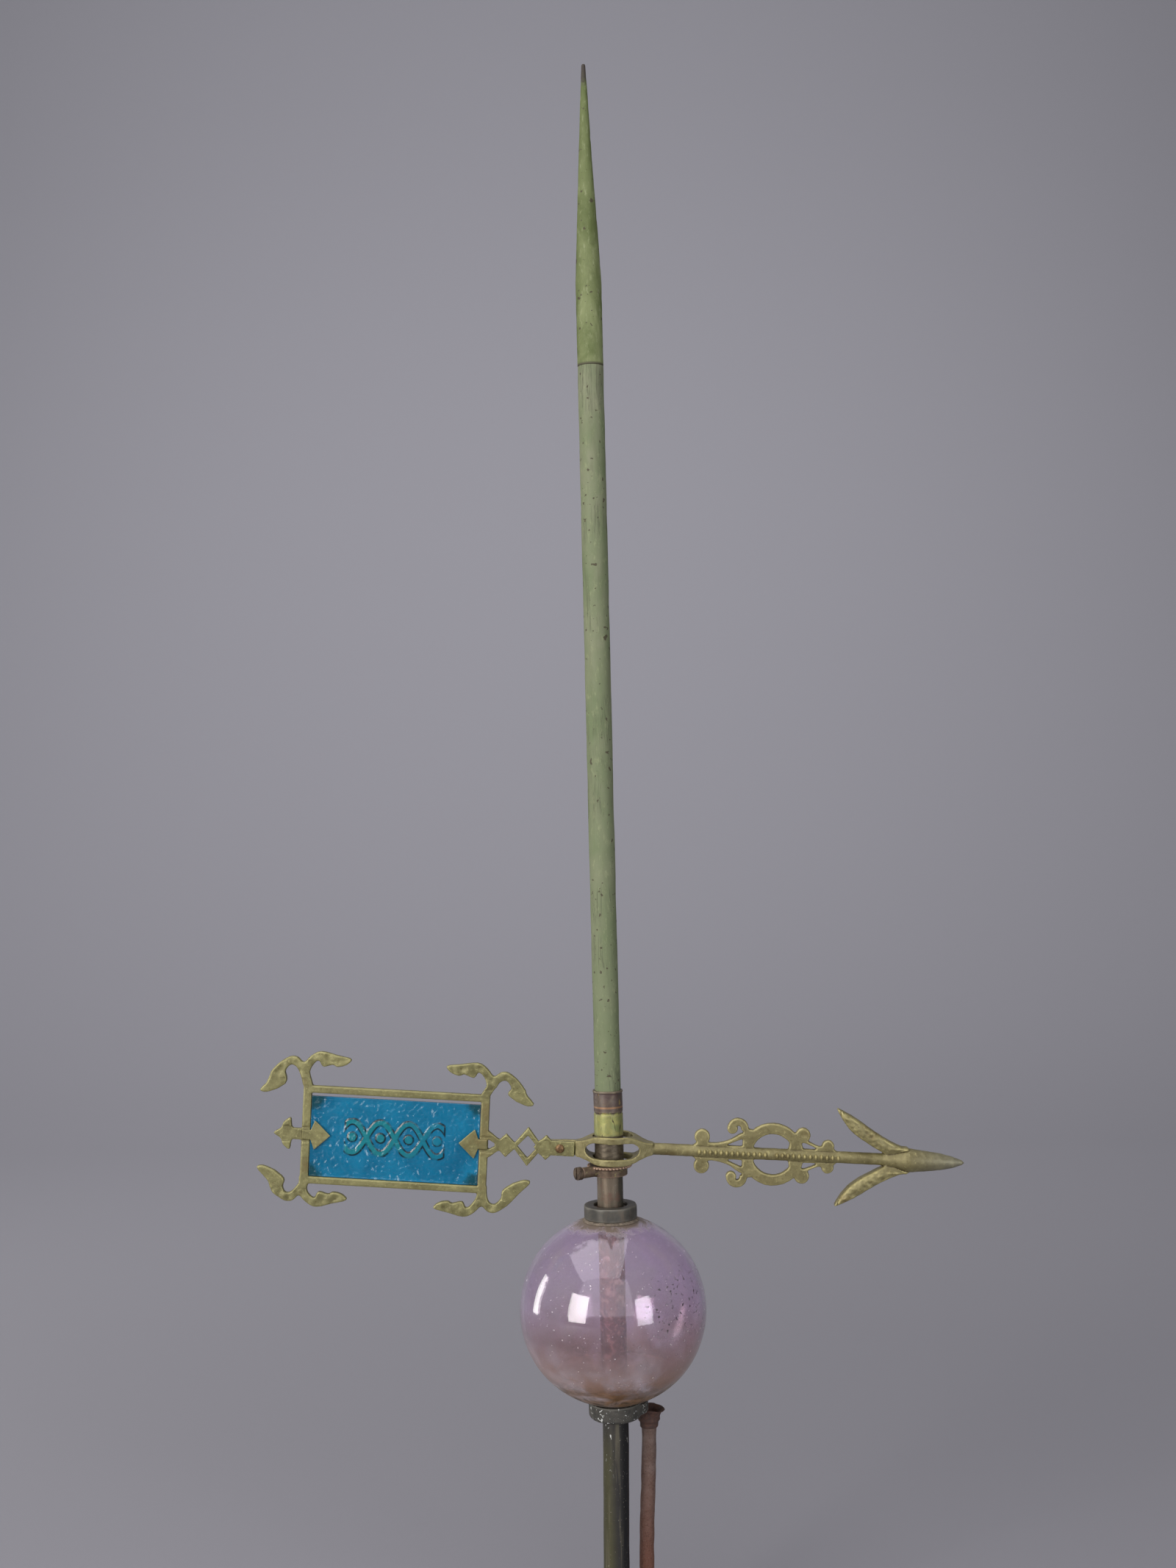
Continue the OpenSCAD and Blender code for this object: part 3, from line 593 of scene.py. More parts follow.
# ---------- point ----------
# Solid point turned to a long slim taper, with a socket at its foot for the tube's stud.
# It has gone green, and a hammer blow left nicks and a flat near the worn, dark tip.
SOCKET_DEPTH = 18 * MM
TAPER_FULLNESS = 0.93
POINT_STRAIGHT = 51 * MM
PEG_STEP = 1.45 * MM
TAPER_STEPS = 12
TIP_RADIUS = 1.2 * MM
FLAT_Z = 0.925
FLAT_REACH = 50 * MM
FLAT_TURN = 0.35
FLAT_DEPTH = 0.9 * MM
NICK_DEPTH = 0.7 * MM
NICK_REACH = 2.2 * MM
# Each nick's height and its angle round the axis
NICK_PLACES = ((0.905, 2.6), (0.868, 5.4), (0.935, 0.2), (0.83, 0.9), (0.89, 4.1))

point_low, point_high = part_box("spire_point")
point_r = radius_of("spire_point")
peg_r = radius_of("point_stud") - PEG_STEP
taper_z = point_low.z + POINT_STRAIGHT
taper_run = point_high.z - TIP_RADIUS - taper_z
taper = [(TIP_RADIUS + (point_r - TIP_RADIUS) * (1 - t) ** TAPER_FULLNESS, taper_z + taper_run * t)
         for t in (i / TAPER_STEPS for i in range(TAPER_STEPS + 1))]
tip = [(TIP_RADIUS * math.cos(a), point_high.z - TIP_RADIUS * (1 - math.sin(a)))
       for a in (math.radians(d) for d in (20, 40, 60, 78))]
socket_top = point_low.z + SOCKET_DEPTH
outline = [(0, socket_top), (peg_r, socket_top), (peg_r, point_low.z), (point_r, point_low.z)]
outline += taper + tip + [(0, point_high.z)]


def hammered_point(spot, angle):
    """Nicks the taper's edges and flattens one side below the tip."""
    out = outward(angle)
    if spot.xy.length < peg_r + 0.2 * MM and spot.z < socket_top + MM:
        return spot
    depth = 0.22 * MM * min(0.0, noise.noise(spot / (7 * MM)) - 0.05)
    flat = max(0.0, math.cos(angle - FLAT_TURN)) ** 4 * max(0.0, 1 - abs(spot.z - FLAT_Z) / FLAT_REACH)
    depth -= FLAT_DEPTH * flat * spot.xy.length / point_r
    for nick_z, nick_angle in NICK_PLACES:
        across = math.cos(angle - nick_angle)
        along = abs(spot.z - nick_z) / NICK_REACH
        depth -= NICK_DEPTH * max(0.0, 1 - along) * max(0.0, across) ** 16
    return spot + out * max(depth, -0.45 * spot.xy.length)


point = lathe("point_hammered", soft_section(outline, 0.4 * MM, 2.0 * MM, False), False,
              64, hammered_point)
patina = verdigris("verdigris_point", (138, 146, 102), (80, 92, 44), 0.80, 0.92, 0.08)
tip_edge = patina.times(patina.noise(300, 4), 12 * MM)
tip_dark = patina.mask(patina.plus(patina.axis("Z"), tip_edge),
                            point_high.z - 8 * MM, point_high.z - 1 * MM)
patina.lay(tip_dark, (58, 50, 46), 0.95)
joint_ring = patina.mask(patina.axis("Z"), point_low.z + 1.8 * MM, point_low.z + 0.6 * MM)
patina.lay(joint_ring, (74, 70, 52))
patina.coat_with(point, Metallic=0.08)
stand_in(point, "mast", "green_point", "spire_point")

# Brass studs hold the tube ends and the point together from inside.
stud_brass = Finish("stud_brass")
stud_turned = stud_brass.noise(500, 3, 0.5, 0.0, stud_brass.stretched(0.2, 0.2, 3))
stud_brass.ground(stud_turned, (168, 140, 82), (132, 106, 62))
stud_brass.bump(stud_turned, 0.05 * MM)
for stud_node in ("coupling_stud", "point_stud"):
    stud = eased_copy(stud_node + "_turned", stud_node, 0.4 * MM)
    stud_brass.coat_with(stud, Metallic=0.9, Roughness=0.4)
    stand_in(stud, "mast", "stud_brass", stud_node)


# ---------- side rod ----------
# Slim iron rod that stands beside the tube, clamped by a screw in the foot's second socket.
# Its end was flared with a hammer and has since bent and chipped; it is rusted all over.
HEAD_WALL = 1.0 * MM
LIP_START = 0.45
LIP_LEAN = 2.3 * MM
LIP_DROP = 1.4 * MM
CHIP_DEPTH = 1.1 * MM
LUMP_HEIGHT = 0.28 * MM

rod_low, rod_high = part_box("side_rod")
rod_centre = ((rod_low.x + rod_high.x) / 2, (rod_low.y + rod_high.y) / 2)
rod_r = radius_of("side_rod")
rod_line = [(0, rod_low.z), (rod_r, rod_low.z), (rod_r, rod_high.z), (0, rod_high.z)]
ROD_DENTS = dented(0.5 * MM, 6 * MM, 15.0)
side_rod = lathe("side_rod_rusted", soft_section(rod_line, 0.5 * MM, 2.5 * MM, False),
                 False, 48, bowed(3.4 * MM, ROD_DENTS), rod_centre)
rust = Finish("rusted_rod")
rust_cloud = rust.noise(120, 6, 0.65)
rust_fine = rust.noise(950, 5, 0.7)
rust.ground(rust.mask(rust_cloud, 0.35, 0.65), (126, 108, 102), (104, 84, 76))
rust.lay(rust.mask(rust.axis("Z"), 0.130, 0.060), (112, 70, 54), 0.9)
rust.lay(rust.mask(rust_fine, 0.56, 0.74), (138, 118, 106))
rust.lay(rust.mask(rust_fine, 0.44, 0.30), (50, 36, 32))
rust.bump(rust.plus(rust.times(rust_cloud, 0.4), rust_fine), 0.55 * MM)
rust.coat_with(side_rod, Metallic=0.1, Roughness=0.82)
stand_in(side_rod, "mast", "rust_rod", "side_rod")

head_low, head_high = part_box("side_rod_head")
rim_r = radius_of("side_rod_head")
flare = head_high.z - head_low.z
bell = [(rod_r + 0.05 * MM, head_low.z), (rod_r + 0.9 * MM, head_low.z),
        (rod_r + 1.2 * MM, head_low.z + flare * 0.26), (rod_r + 2.2 * MM, head_low.z + flare * 0.38),
        (rod_r + 2.0 * MM, head_low.z + flare * 0.55), (rim_r - 0.9 * MM, head_high.z - flare * 0.22),
        (rim_r, head_high.z - 0.9 * MM), (rim_r - 0.1 * MM, head_high.z),
        (rim_r - HEAD_WALL, head_high.z), (rod_r + 1.0 * MM, head_low.z + flare * 0.60),
        (rod_r + 0.05 * MM, head_low.z + flare * 0.45)]


def bent_lip(spot, angle):
    """Bends the bell's lip outwards on its far side and breaks small chips from the edge."""
    out = outward(angle)
    share = max(0.0, (spot.z - head_low.z) / flare - LIP_START) / (1 - LIP_START)
    lean = max(0.0, math.cos(angle + 0.25)) ** 2
    chip = noise.noise(Vector((math.cos(angle) * 2.3, math.sin(angle) * 2.3, 4.0)))
    spot = spot + out * (LIP_LEAN * lean * share ** 1.5)
    spot.z -= share ** 3 * (LIP_DROP * lean + CHIP_DEPTH * max(0.0, chip))
    lump = noise.noise(spot / (2.6 * MM) + Vector((9, 0, 0)))
    return spot + out * LUMP_HEIGHT * lump


side_head = lathe("side_rod_head_flared", soft_section(bell, 0.35 * MM, 0.8 * MM),
                  True, 72, bent_lip, rod_centre)
mark_wear(side_head, 5)


def mottled(name, noise_inputs, low, high, light, dark, relief=0):
    """A material that one noise mottles from light to dark, and roughens where relief isn't 0."""
    made = Finish(name)
    made.cloud = made.noise(*noise_inputs)
    made.ground(made.mask(made.cloud, low, high), light, dark)
    if relief:
        made.bump(made.cloud, relief)
    return made


flare_rust = mottled("flare_rust", (330, 6, 0.65), 0.36, 0.64, (94, 66, 56), (66, 50, 46))
flare_rust.lay(flare_rust.worn(0.08, 0.35), (142, 112, 96))
flare_rust.lay(flare_rust.worn(-0.05, -0.25), (112, 48, 34))
flare_rust.bump(flare_rust.noise(900, 5), 0.3 * MM)
flare_rust.coat_with(side_head, Metallic=0.1, Roughness=0.75)
stand_in(side_head, "mast", "rust_flare", "side_rod_head")


# ---------- cup and packing ----------
# Dark cast cup, screwed to the lower tube, that carries the ball and reaches to the side rod.
# Felt packs the ball's neck in the cup, and crumbled putty seals it under the cap.
cup = cast_copy("ball_cup_casting", "ball_cup", 0.45 * MM, 5)
mark_wear(cup, 8)
cup_grey = mottled("cup_grey_metal", (220, 6, 0.62), 0.36, 0.64, (56, 56, 52), (82, 79, 73))
cup_grey.lay(cup_grey.worn(0.03, 0.22), (112, 111, 105))
cup_grey.lay(cup_grey.worn(-0.02, -0.15), (46, 42, 38))
paint = cup_grey.noise(300, 4, 0.62, 1.6, cup_grey.stretched(1.0, 1.0, 0.8))
paint = cup_grey.mask(paint, 0.615, 0.635)
cup_grey.lay(paint, (214, 216, 213))
cup_grey.bump(cup_grey.plus(cup_grey.cloud, cup_grey.times(paint, 0.4)), 0.35 * MM)
cup_grey.coat_with(cup, Metallic=0.25, Roughness=0.62)
stand_in(cup, "mast", "cup_metal", "ball_cup")

CRUMB_RISE = 0.30 * MM
CRUMB_SIZE = 1.6 * MM

packing = cast_copy("bottom_packing_felt", "bottom_packing", 0.35 * MM, 1)
top_putty = cast_copy("top_putty_crumbled", "top_putty", 0.30 * MM, 2)
places, normals = point_arrays(top_putty)
crumbs = [CRUMB_RISE * noise.noise(Vector(p) / CRUMB_SIZE) for p in places]
places += normals * np.array(crumbs)[:, None]
top_putty.data.vertices.foreach_set("co", places.ravel())
for filler, filler_body, filler_node in ((packing, "mast", "bottom_packing"),
                                         (top_putty, "ball", "top_putty")):
    putty = mottled(filler_node + "_dirt", (420, 6, 0.7), 0.38, 0.62, (92, 82, 70), (128, 116, 102),
                    0.5 * MM)
    putty.lay(putty.specks(0.64, 0.70, 1500, 3), (64, 54, 46))
    putty.coat_with(filler, Roughness=0.92)
    stand_in(filler, filler_body, "packing", filler_node)


# ---------- glass ball ----------
# Blown ball of pale amethyst glass with a short neck at each end, free to turn on the tube.
# It has browned at the bottom, and grime has gathered round the upper neck.
GLASS_WALL = 2.6 * MM
NECK_BORE_PLAY = 0.7 * MM
NECK_WALL = 3.75 * MM

ball_low, ball_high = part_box("glass_ball")
tube_r = radius_of("upper_tube")
ball_r = radius_of("glass_ball")
ball_z = (ball_low.z + ball_high.z) / 2
neck_in = tube_r + NECK_BORE_PLAY
neck_out = neck_in + NECK_WALL


def sphere_arc(radius, edge, steps):
    """Half a circle of the given radius, from the lower to the upper ring of radius edge."""
    start = math.acos(edge / radius)
    return [(radius * math.cos(a), ball_z + radius * math.sin(a))
            for a in (-start + 2 * start * i / steps for i in range(steps + 1))]


outer_wall = sphere_arc(ball_r, neck_out, 110)
inner_wall = sphere_arc(ball_r - GLASS_WALL, neck_in + 0.4 * MM, 90)
neck_top = [(neck_out, ball_high.z), (neck_in, ball_high.z)]
neck_bottom = [(neck_in, ball_low.z), (neck_out, ball_low.z)]
ball_section = outer_wall + neck_top + inner_wall[::-1] + neck_bottom


def blown(spot, angle):
    """Lets the wall of the blown glass swell and sink a little."""
    away_from = Vector((spot.x, spot.y, spot.z - ball_z))
    if spot.xy.length < neck_out + 0.2 * MM:
        return spot
    swell = noise.noise(spot / (26 * MM)) - 0.6
    return spot + away_from.normalized() * 0.16 * MM * swell


glass_ball = lathe("glass_ball_blown", ball_section, True, 192, blown)
glass = Finish("amethyst_glass")
tilt = glass.mask(glass.axis("Z"), ball_z - ball_r, ball_z + ball_r)
veil = glass.noise(38, 5, 0.6, 0.6)
stain = glass.noise(95, 6, 0.65, 0.8)
grime_low = glass.times(glass.mask(tilt, 0.22, 0.08), glass.mask(stain, 0.42, 0.54))
grime_low = glass.times(grime_low, 0.85)
ragged_tilt = glass.plus(tilt, glass.times(glass.minus(stain, 0.5), 0.10))
grime_top = glass.mask(ragged_tilt, 0.940, 0.968)
speck = glass.specks(0.70, 0.73, 520, 3)
glass.ground(glass.mask(tilt, 0.56, 0.10), (245, 230, 251), (184, 138, 84))
glass.lay(glass.mask(veil, 0.45, 0.70), (246, 236, 246))
glass.lay(grime_low, (72, 54, 26))
glass.lay(grime_top, (128, 112, 98))
glass.lay(speck, (238, 230, 226), 0.7)
film = glass.larger(grime_low, glass.times(grime_top, 0.75))
film = glass.larger(film, glass.times(speck, 0.8))
film = glass.larger(film, glass.times(glass.mask(tilt, 0.44, 0.02), 0.60))
fly_zone = glass.times(glass.mask(glass.axis("X"), 20 * MM, 28 * MM),
                       glass.mask(glass.axis("Y"), -5 * MM, -15 * MM))
fly_zone = glass.times(fly_zone, glass.band(tilt, 0.40, 0.50, 0.72, 0.80))
fly_speck = glass.times(glass.specks(0.655, 0.675, 430, 2), fly_zone)
glass.lay(fly_speck, (40, 22, 26))
film = glass.larger(film, fly_speck)
clear = glass.minus(0.92, glass.times(film, 0.80))
glass.bump(glass.plus(veil, glass.times(film, 0.2)), 0.12 * MM)
glass.coat_with(glass_ball, Roughness=glass.mask(film, -0.05, 1.6), Transmission_Weight=clear, IOR=1.5,
                Specular_IOR_Level=1.0)
stand_in(glass_ball, "ball", "ball_glass", "glass_ball")


# ---------- top cap ----------
# Turned grey metal ring that sits over the ball's upper neck and turns with it.
# Its edges are worn bright, and brown drips run down its side.
CAP_ROOF = 2.3 * MM
CAP_HOLE_PLAY = 2.35 * MM

cap_low, cap_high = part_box("ball_top_cap")
cap_r = radius_of("ball_top_cap")
cap_hole = tube_r + CAP_HOLE_PLAY
cap_section = [(cap_r, cap_low.z), (cap_r, cap_high.z), (cap_hole, cap_high.z),
               (cap_hole, cap_high.z - CAP_ROOF), (neck_out + 0.05 * MM, cap_high.z - CAP_ROOF),
               (neck_out + 0.05 * MM, cap_low.z)]
cap = lathe("ball_top_cap_turned", soft_section(cap_section, 0.9 * MM, 0.9 * MM),
            True, 96, dented(0.5 * MM, 7 * MM, 21.0))
mark_wear(cap, 10)
cap_grey = mottled("cap_grey_metal", (190, 6, 0.62), 0.36, 0.66, (66, 65, 61), (88, 84, 76), 0.25 * MM)
cap_grey.lay(cap_grey.worn(0.10, 0.34), (112, 109, 101))
cap_drip = cap_grey.mask(cap_grey.noise(160, 4, 0.6, 0.5, cap_grey.stretched(1, 1, 0.2)), 0.54, 0.66)
cap_grey.lay(cap_drip, (100, 88, 74), 0.6)
cap_grey.coat_with(cap, Metallic=0.3, Roughness=0.52)
stand_in(cap, "ball", "cap_metal", "ball_top_cap")


# ---------- collar ----------
# Small cast bronze collar that holds the arrow up, with a row of beads round its rim.
# It is clamped to the tube by a slotted screw in its boss.
BEAD_COUNT = 38
BEAD_SIZE = 0.85 * MM


def bead_tree(name, material):
    """Geometry nodes: flattened beads set along the object's edges, each turned along the path."""
    tree = bpy.data.node_groups.new(name, "GeometryNodeTree")
    made = {}
    tree.interface.new_socket("Path", in_out="INPUT", socket_type="NodeSocketGeometry")
    for label, kind in (("Count", "Int"), ("Size", "Float"), ("Length", "Float"), ("Lift", "Float")):
        made[label] = tree.interface.new_socket(label, in_out="INPUT", socket_type="NodeSocket" + kind)
    tree.interface.new_socket("Beads", in_out="OUTPUT", socket_type="NodeSocketGeometry")
    add = tree.nodes.new
    given = add("NodeGroupInput")
    path = add("GeometryNodeMeshToCurve")
    spread = add("GeometryNodeCurveToPoints")
    spread.mode = "COUNT"
    bead = add("GeometryNodeMeshUVSphere")
    bead.inputs["Segments"].default_value = 10
    bead.inputs["Rings"].default_value = 6
    scale = add("ShaderNodeCombineXYZ")
    placed = add("GeometryNodeInstanceOnPoints")
    real = add("GeometryNodeRealizeInstances")
    smooth = add("GeometryNodeSetShadeSmooth")
    paint_on = add("GeometryNodeSetMaterial")
    paint_on.inputs["Material"].default_value = material
    given_back = add("NodeGroupOutput")
    for start, out, end, into in (
            (given, "Path", path, "Mesh"), (path, "Curve", spread, "Curve"),
            (given, "Count", spread, "Count"), (spread, "Points", placed, "Points"),
            (spread, "Rotation", placed, "Rotation"), (given, "Size", bead, "Radius"),
            (given, "Lift", scale, "X"), (given, "Lift", scale, "Y"), (given, "Length", scale, "Z"),
            (bead, "Mesh", placed, "Instance"), (scale, "Vector", placed, "Scale"),
            (placed, "Instances", real, "Geometry"), (real, "Geometry", smooth, "Geometry"),
            (smooth, "Geometry", paint_on, "Geometry"), (paint_on, "Geometry", given_back, "Beads")):
        tree.links.new(start.outputs[out], end.inputs[into])
    return tree, made


def bead_row(name, points, closed, material, count, size, length, lift):
    """A row of beads along the points, as one plain mesh."""
    mesh = bpy.data.meshes.new(name)
    edges = [(i, i + 1) for i in range(len(points) - 1)] + ([(len(points) - 1, 0)] if closed else [])
    mesh.from_pydata([tuple(p) for p in points], edges, [])
    row = link_new(name, mesh)
    tree, sockets = bead_tree(name + "_tree", material)
    beads = row.modifiers.new("beads", "NODES")
    beads.node_group = tree
    for label, value in (("Count", count), ("Size", size), ("Length", length), ("Lift", lift)):
        beads[sockets[label].identifier] = value
    settle(row)
    return row


collar = cast_copy("stop_collar_casting", "stop_collar", 0.40 * MM, 5)
mark_wear(collar, 8)
bronze = mottled("collar_bronze", (260, 6, 0.62), 0.36, 0.64, (112, 96, 78), (84, 68, 56), 0.30 * MM)
bronze.lay(bronze.worn(0.03, 0.22), (178, 150, 128))
bronze.lay(bronze.worn(-0.02, -0.16), (50, 38, 30))
bronze.lay(bronze.specks(0.62, 0.70, 420, 4), (140, 132, 88))
bronze.coat_with(collar, Metallic=0.5, Roughness=0.5)
stand_in(collar, "mast", "collar_bronze", "stop_collar")

collar_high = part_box("stop_collar")[1]
flange_r = max(collar_high.x, collar_high.y)
rim_ring = [Vector((flange_r * math.cos(a), flange_r * math.sin(a), collar_high.z - 1.0 * MM))
            for a in (2 * math.pi * i / 72 for i in range(72))]
rim_bronze = Finish("collar_rim_bronze")
rim_cloud = rim_bronze.noise(500, 4)
rim_bronze.ground(rim_cloud, (196, 168, 146), (128, 100, 78))
rim_bronze.bump(rim_cloud, 0.1 * MM)
rim_beads = bead_row("collar_rim_beads", rim_ring, True, rim_bronze.material, BEAD_COUNT, BEAD_SIZE,
                     1.15, 0.95)
rim_bronze.coat_with(rim_beads, Metallic=0.55, Roughness=0.4)
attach(rim_beads, "mast")

collar_screw = eased_copy("collar_screw_eased", "collar_screw", 0.5 * MM)
screw_bronze = mottled("collar_screw_bronze", (330, 5), 0.38, 0.62, (104, 88, 72), (68, 56, 48), 0.3 * MM)
screw_bronze.coat_with(collar_screw, Metallic=0.5, Roughness=0.5)
stand_in(collar_screw, "mast", "collar_bronze", "collar_screw")


# ---------- bush and coupling ----------
# The arrow's hub turns round a dark turned bush that is fixed on the tube.
# Above it a thin brass sleeve with a rolled lip and a groove covers the tube joint.
SLEEVE_LIP = 1.4 * MM

bush_low, bush_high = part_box("vane_bush")
bush_r = radius_of("vane_bush")
bore_r = tube_r + 0.05 * MM
bush_section = [(bush_r, bush_low.z), (bush_r, bush_high.z), (bore_r, bush_high.z), (bore_r, bush_low.z)]
bush = lathe("vane_bush_turned", soft_section(bush_section, 0.3 * MM, 1.2 * MM), True,
             80, dented(0.12 * MM, 5 * MM, 31.0))
bush_metal = Finish("bush_metal")
bush_cloud = bush_metal.noise(260, 5, 0.6, 0.0, bush_metal.stretched(1, 1, 2.2))
bush_metal.ground(bush_metal.mask(bush_cloud, 0.34, 0.66), (112, 102, 86), (78, 68, 56))
bush_metal.bump(bush_cloud, 0.18 * MM)
bush_metal.coat_with(bush, Metallic=0.6, Roughness=0.42)
stand_in(bush, "mast", "bush_metal", "vane_bush")

sleeve_low, sleeve_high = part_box("coupling_sleeve")
lip_r = radius_of("coupling_sleeve")
sleeve_r = lip_r - 0.35 * MM
lip_z = sleeve_high.z - SLEEVE_LIP
band_z = (sleeve_low.z + sleeve_high.z) / 2
sleeve_section = [(sleeve_r, sleeve_low.z), (sleeve_r, band_z - 0.8 * MM),
                  (sleeve_r - 0.30 * MM, band_z - 0.3 * MM), (sleeve_r - 0.30 * MM, band_z + 0.3 * MM),
                  (sleeve_r, band_z + 0.8 * MM), (sleeve_r, lip_z), (lip_r, lip_z + 0.25 * MM),
                  (lip_r, sleeve_high.z), (bore_r, sleeve_high.z), (bore_r, sleeve_low.z)]
sleeve = lathe("coupling_sleeve_rolled", soft_section(sleeve_section, 0.28 * MM, 1.0 * MM),
               True, 96, dented(0.25 * MM, 8 * MM, 41.0))
mark_wear(sleeve, 8)
coupling = Finish("coupling_metal")
coupling_z = coupling.axis("Z")
coupling_cloud = coupling.noise(170, 6, 0.62, 0.6)
edge_noise = coupling.times(coupling.minus(coupling_cloud, 0.5), 8 * MM)
ragged_z = coupling.plus(coupling_z, edge_noise)
lower_green = coupling.mix(coupling.mask(coupling_cloud, 0.36, 0.64), (160, 156, 94), (126, 133, 82))
lower_crack = coupling.mask(coupling.noise(300, 5, 0.6, 1.0, coupling.stretched(1, 1, 0.25)), 0.62, 0.68)
lower_green = coupling.mix(lower_crack, lower_green, (64, 56, 36))
upper_brown = coupling.mix(coupling.mask(coupling_cloud, 0.34, 0.66), (92, 82, 78), (82, 64, 60))
upper_brown = coupling.mix(coupling.specks(0.62, 0.68, 330, 4), upper_brown, (150, 128, 74))
coupling.ground(coupling.mask(ragged_z, band_z - 0.6 * MM, band_z + 0.9 * MM), lower_green, upper_brown)
groove = coupling.band(coupling_z, band_z + 3.0 * MM, band_z + 3.5 * MM, band_z + 4.0 * MM,
                       band_z + 4.6 * MM)
coupling.lay(groove, (158, 118, 84), 0.8)
coupling.lay(coupling.worn(0.03, 0.15), (150, 140, 112))
coupling.lay(coupling.worn(-0.02, -0.10), (62, 50, 44))
coupling.bump(coupling_cloud, 0.22 * MM)
coupling.coat_with(sleeve, Metallic=0.45, Roughness=0.45)
stand_in(sleeve, "mast", "sleeve_metal", "coupling_sleeve")


# ---------- vane arrow ----------
# One soft-edged brass casting: two-ring hub, round shaft, scroll plate, barbs like curled horns.
# The shaft droops a little, and beads stand in two rows along its front.
HUB_Z = 0.31727
VANE_DROOP = math.radians(1.2)
SHAFT_BEND = math.radians(2.2)
SHAFT_START = 22 * MM
SHAFT_R = 3.6 * MM
SCROLL_X = 99.5 * MM
HEAD_X = 181.5 * MM
SCROLL_BEFORE = 50 * MM
SCROLL_AFTER = 40 * MM
BARB_REACH = 41.5 * MM
ROOT_FADE = 3.5 * MM
# How far in from its edge a flat face is crowned, and how high
PLATE_CROWN = (1.2 * MM, 0.22 * MM)
HORN_CROWN = (5.2 * MM, 2.0 * MM)
WRINKLE_HEIGHT = 0.55 * MM
PIT_DEPTH = 0.16 * MM

vane_frame = Matrix.Translation((0, 0, HUB_Z)) @ Matrix.Rotation(VANE_DROOP, 4, "Y")
shaft_frame = (vane_frame @ Matrix.Translation((SHAFT_START, 0, 0)) @ Matrix.Rotation(SHAFT_BEND, 4, "Y")
               @ Matrix.Translation((-SHAFT_START, 0, 0)))


def in_frame(piece, matrix):
    """The piece's points and normals in a tilted frame, as arrays."""
    places, normals = point_arrays(piece)
    back = np.array(matrix.inverted())
    return places @ back[:3, :3].T + back[:3, 3], normals @ back[:3, :3].T


def put_back(piece, matrix, places):
    """Moves the piece's points to places given in a tilted frame."""
    out = np.array(matrix)
    moved = places @ out[:3, :3].T + out[:3, 3]
    piece.data.vertices.foreach_set("co", moved.astype(np.float32).ravel())
    piece.data.update()


def crowned(places, normals, reach, rise, where):
    """Swells flat faces of a plate towards their middle: the edge stays, the middle stands proud."""
    facing = np.abs(normals[:, 1]) > 0.85
    rim = np.flatnonzero(np.abs(normals[:, 1]) < 0.55)
    tree = kdtree.KDTree(len(rim))
    for i in rim:
        tree.insert((places[i, 0], 0, places[i, 2]), int(i))
    tree.balance()
    lift = np.zeros(len(places))
    for i in np.flatnonzero(facing & where):
        gap = tree.find((places[i, 0], 0, places[i, 2]))[2]
        share = min(1.0, gap / reach)
        lift[i] = rise * math.sqrt(1 - (1 - share) ** 2)
    return places[:, 1] + np.sign(normals[:, 1]) * lift


vane = cast_copy("vane_arrow_casting", "vane_arrow", 0.50 * MM, 3)
spots, facings = in_frame(vane, shaft_frame)
on_scroll = (spots[:, 0] > SCROLL_X - SCROLL_BEFORE) & (spots[:, 0] < SCROLL_X + SCROLL_AFTER)
on_scroll &= np.abs(spots[:, 2]) > SHAFT_R
on_barbs = (spots[:, 0] > HEAD_X - BARB_REACH) & (np.abs(spots[:, 2]) > SHAFT_R)
root_fade = np.clip((np.abs(spots[:, 2]) - SHAFT_R) / ROOT_FADE, 0, 1)
plate = crowned(spots, facings, *PLATE_CROWN, on_scroll)
horn = crowned(spots, facings, *HORN_CROWN, on_barbs)
spots[:, 1] = np.where(on_barbs, spots[:, 1] + (horn - spots[:, 1]) * root_fade, plate)
wrinkle = [noise.noise(Vector((x, abs(z) * 1.4, 0)) / (3.2 * MM)) for x, y, z in spots]
spots[:, 1] += np.sign(facings[:, 1]) * WRINKLE_HEIGHT * np.where(on_barbs, wrinkle, 0) * root_fade
pits = [noise.noise(Vector(spot) / (3.4 * MM) + Vector((5, 0, 0))) for spot in spots]
spots += facings * (PIT_DEPTH * np.array(pits))[:, None]
put_back(vane, shaft_frame, spots)
mark_wear(vane, 9)


def old_brass(name, light, dark, bright):
    """Weathered vane brass: mottled olive, yellow worn edges, brown-black dirt in the hollows."""
    brass = Finish(name)
    cloud = brass.noise(85, 6, 0.62, 0.5)
    fine = brass.noise(520, 5, 0.7)
    brass.ground(brass.mask(cloud, 0.34, 0.66), light, dark)
    brass.lay(brass.mask(fine, 0.58, 0.76), bright)
    brass.lay(brass.mask(fine, 0.44, 0.30), (94, 82, 48), 0.7)
    brass.lay(brass.worn(0.06, 0.34), bright, 0.8)
    brass.lay(brass.worn(-0.03, -0.22), (62, 50, 30))
    blotch = brass.specks(0.60, 0.68, 46, 4, 0.6)
    brass.lay(blotch, (112, 96, 58), 0.5)
    brass.bump(brass.plus(cloud, brass.times(fine, 0.6)), 0.30 * MM)
    brass.sheen(Metallic=0.4, Roughness=brass.mask(fine, -0.35, 1.5))
    return brass


vane_brass = old_brass("vane_old_brass", (138, 130, 90), (108, 100, 66), (178, 168, 116))
tip_blue = vane_brass.mask(vane_brass.axis("X"), HEAD_X - 1.5 * MM, HEAD_X + 30.5 * MM)
vane_brass.lay(tip_blue, (132, 134, 128), 0.45)
vane_brass.coat_with(vane)
stand_in(vane, "vane", "vane_bronze", "vane_arrow")

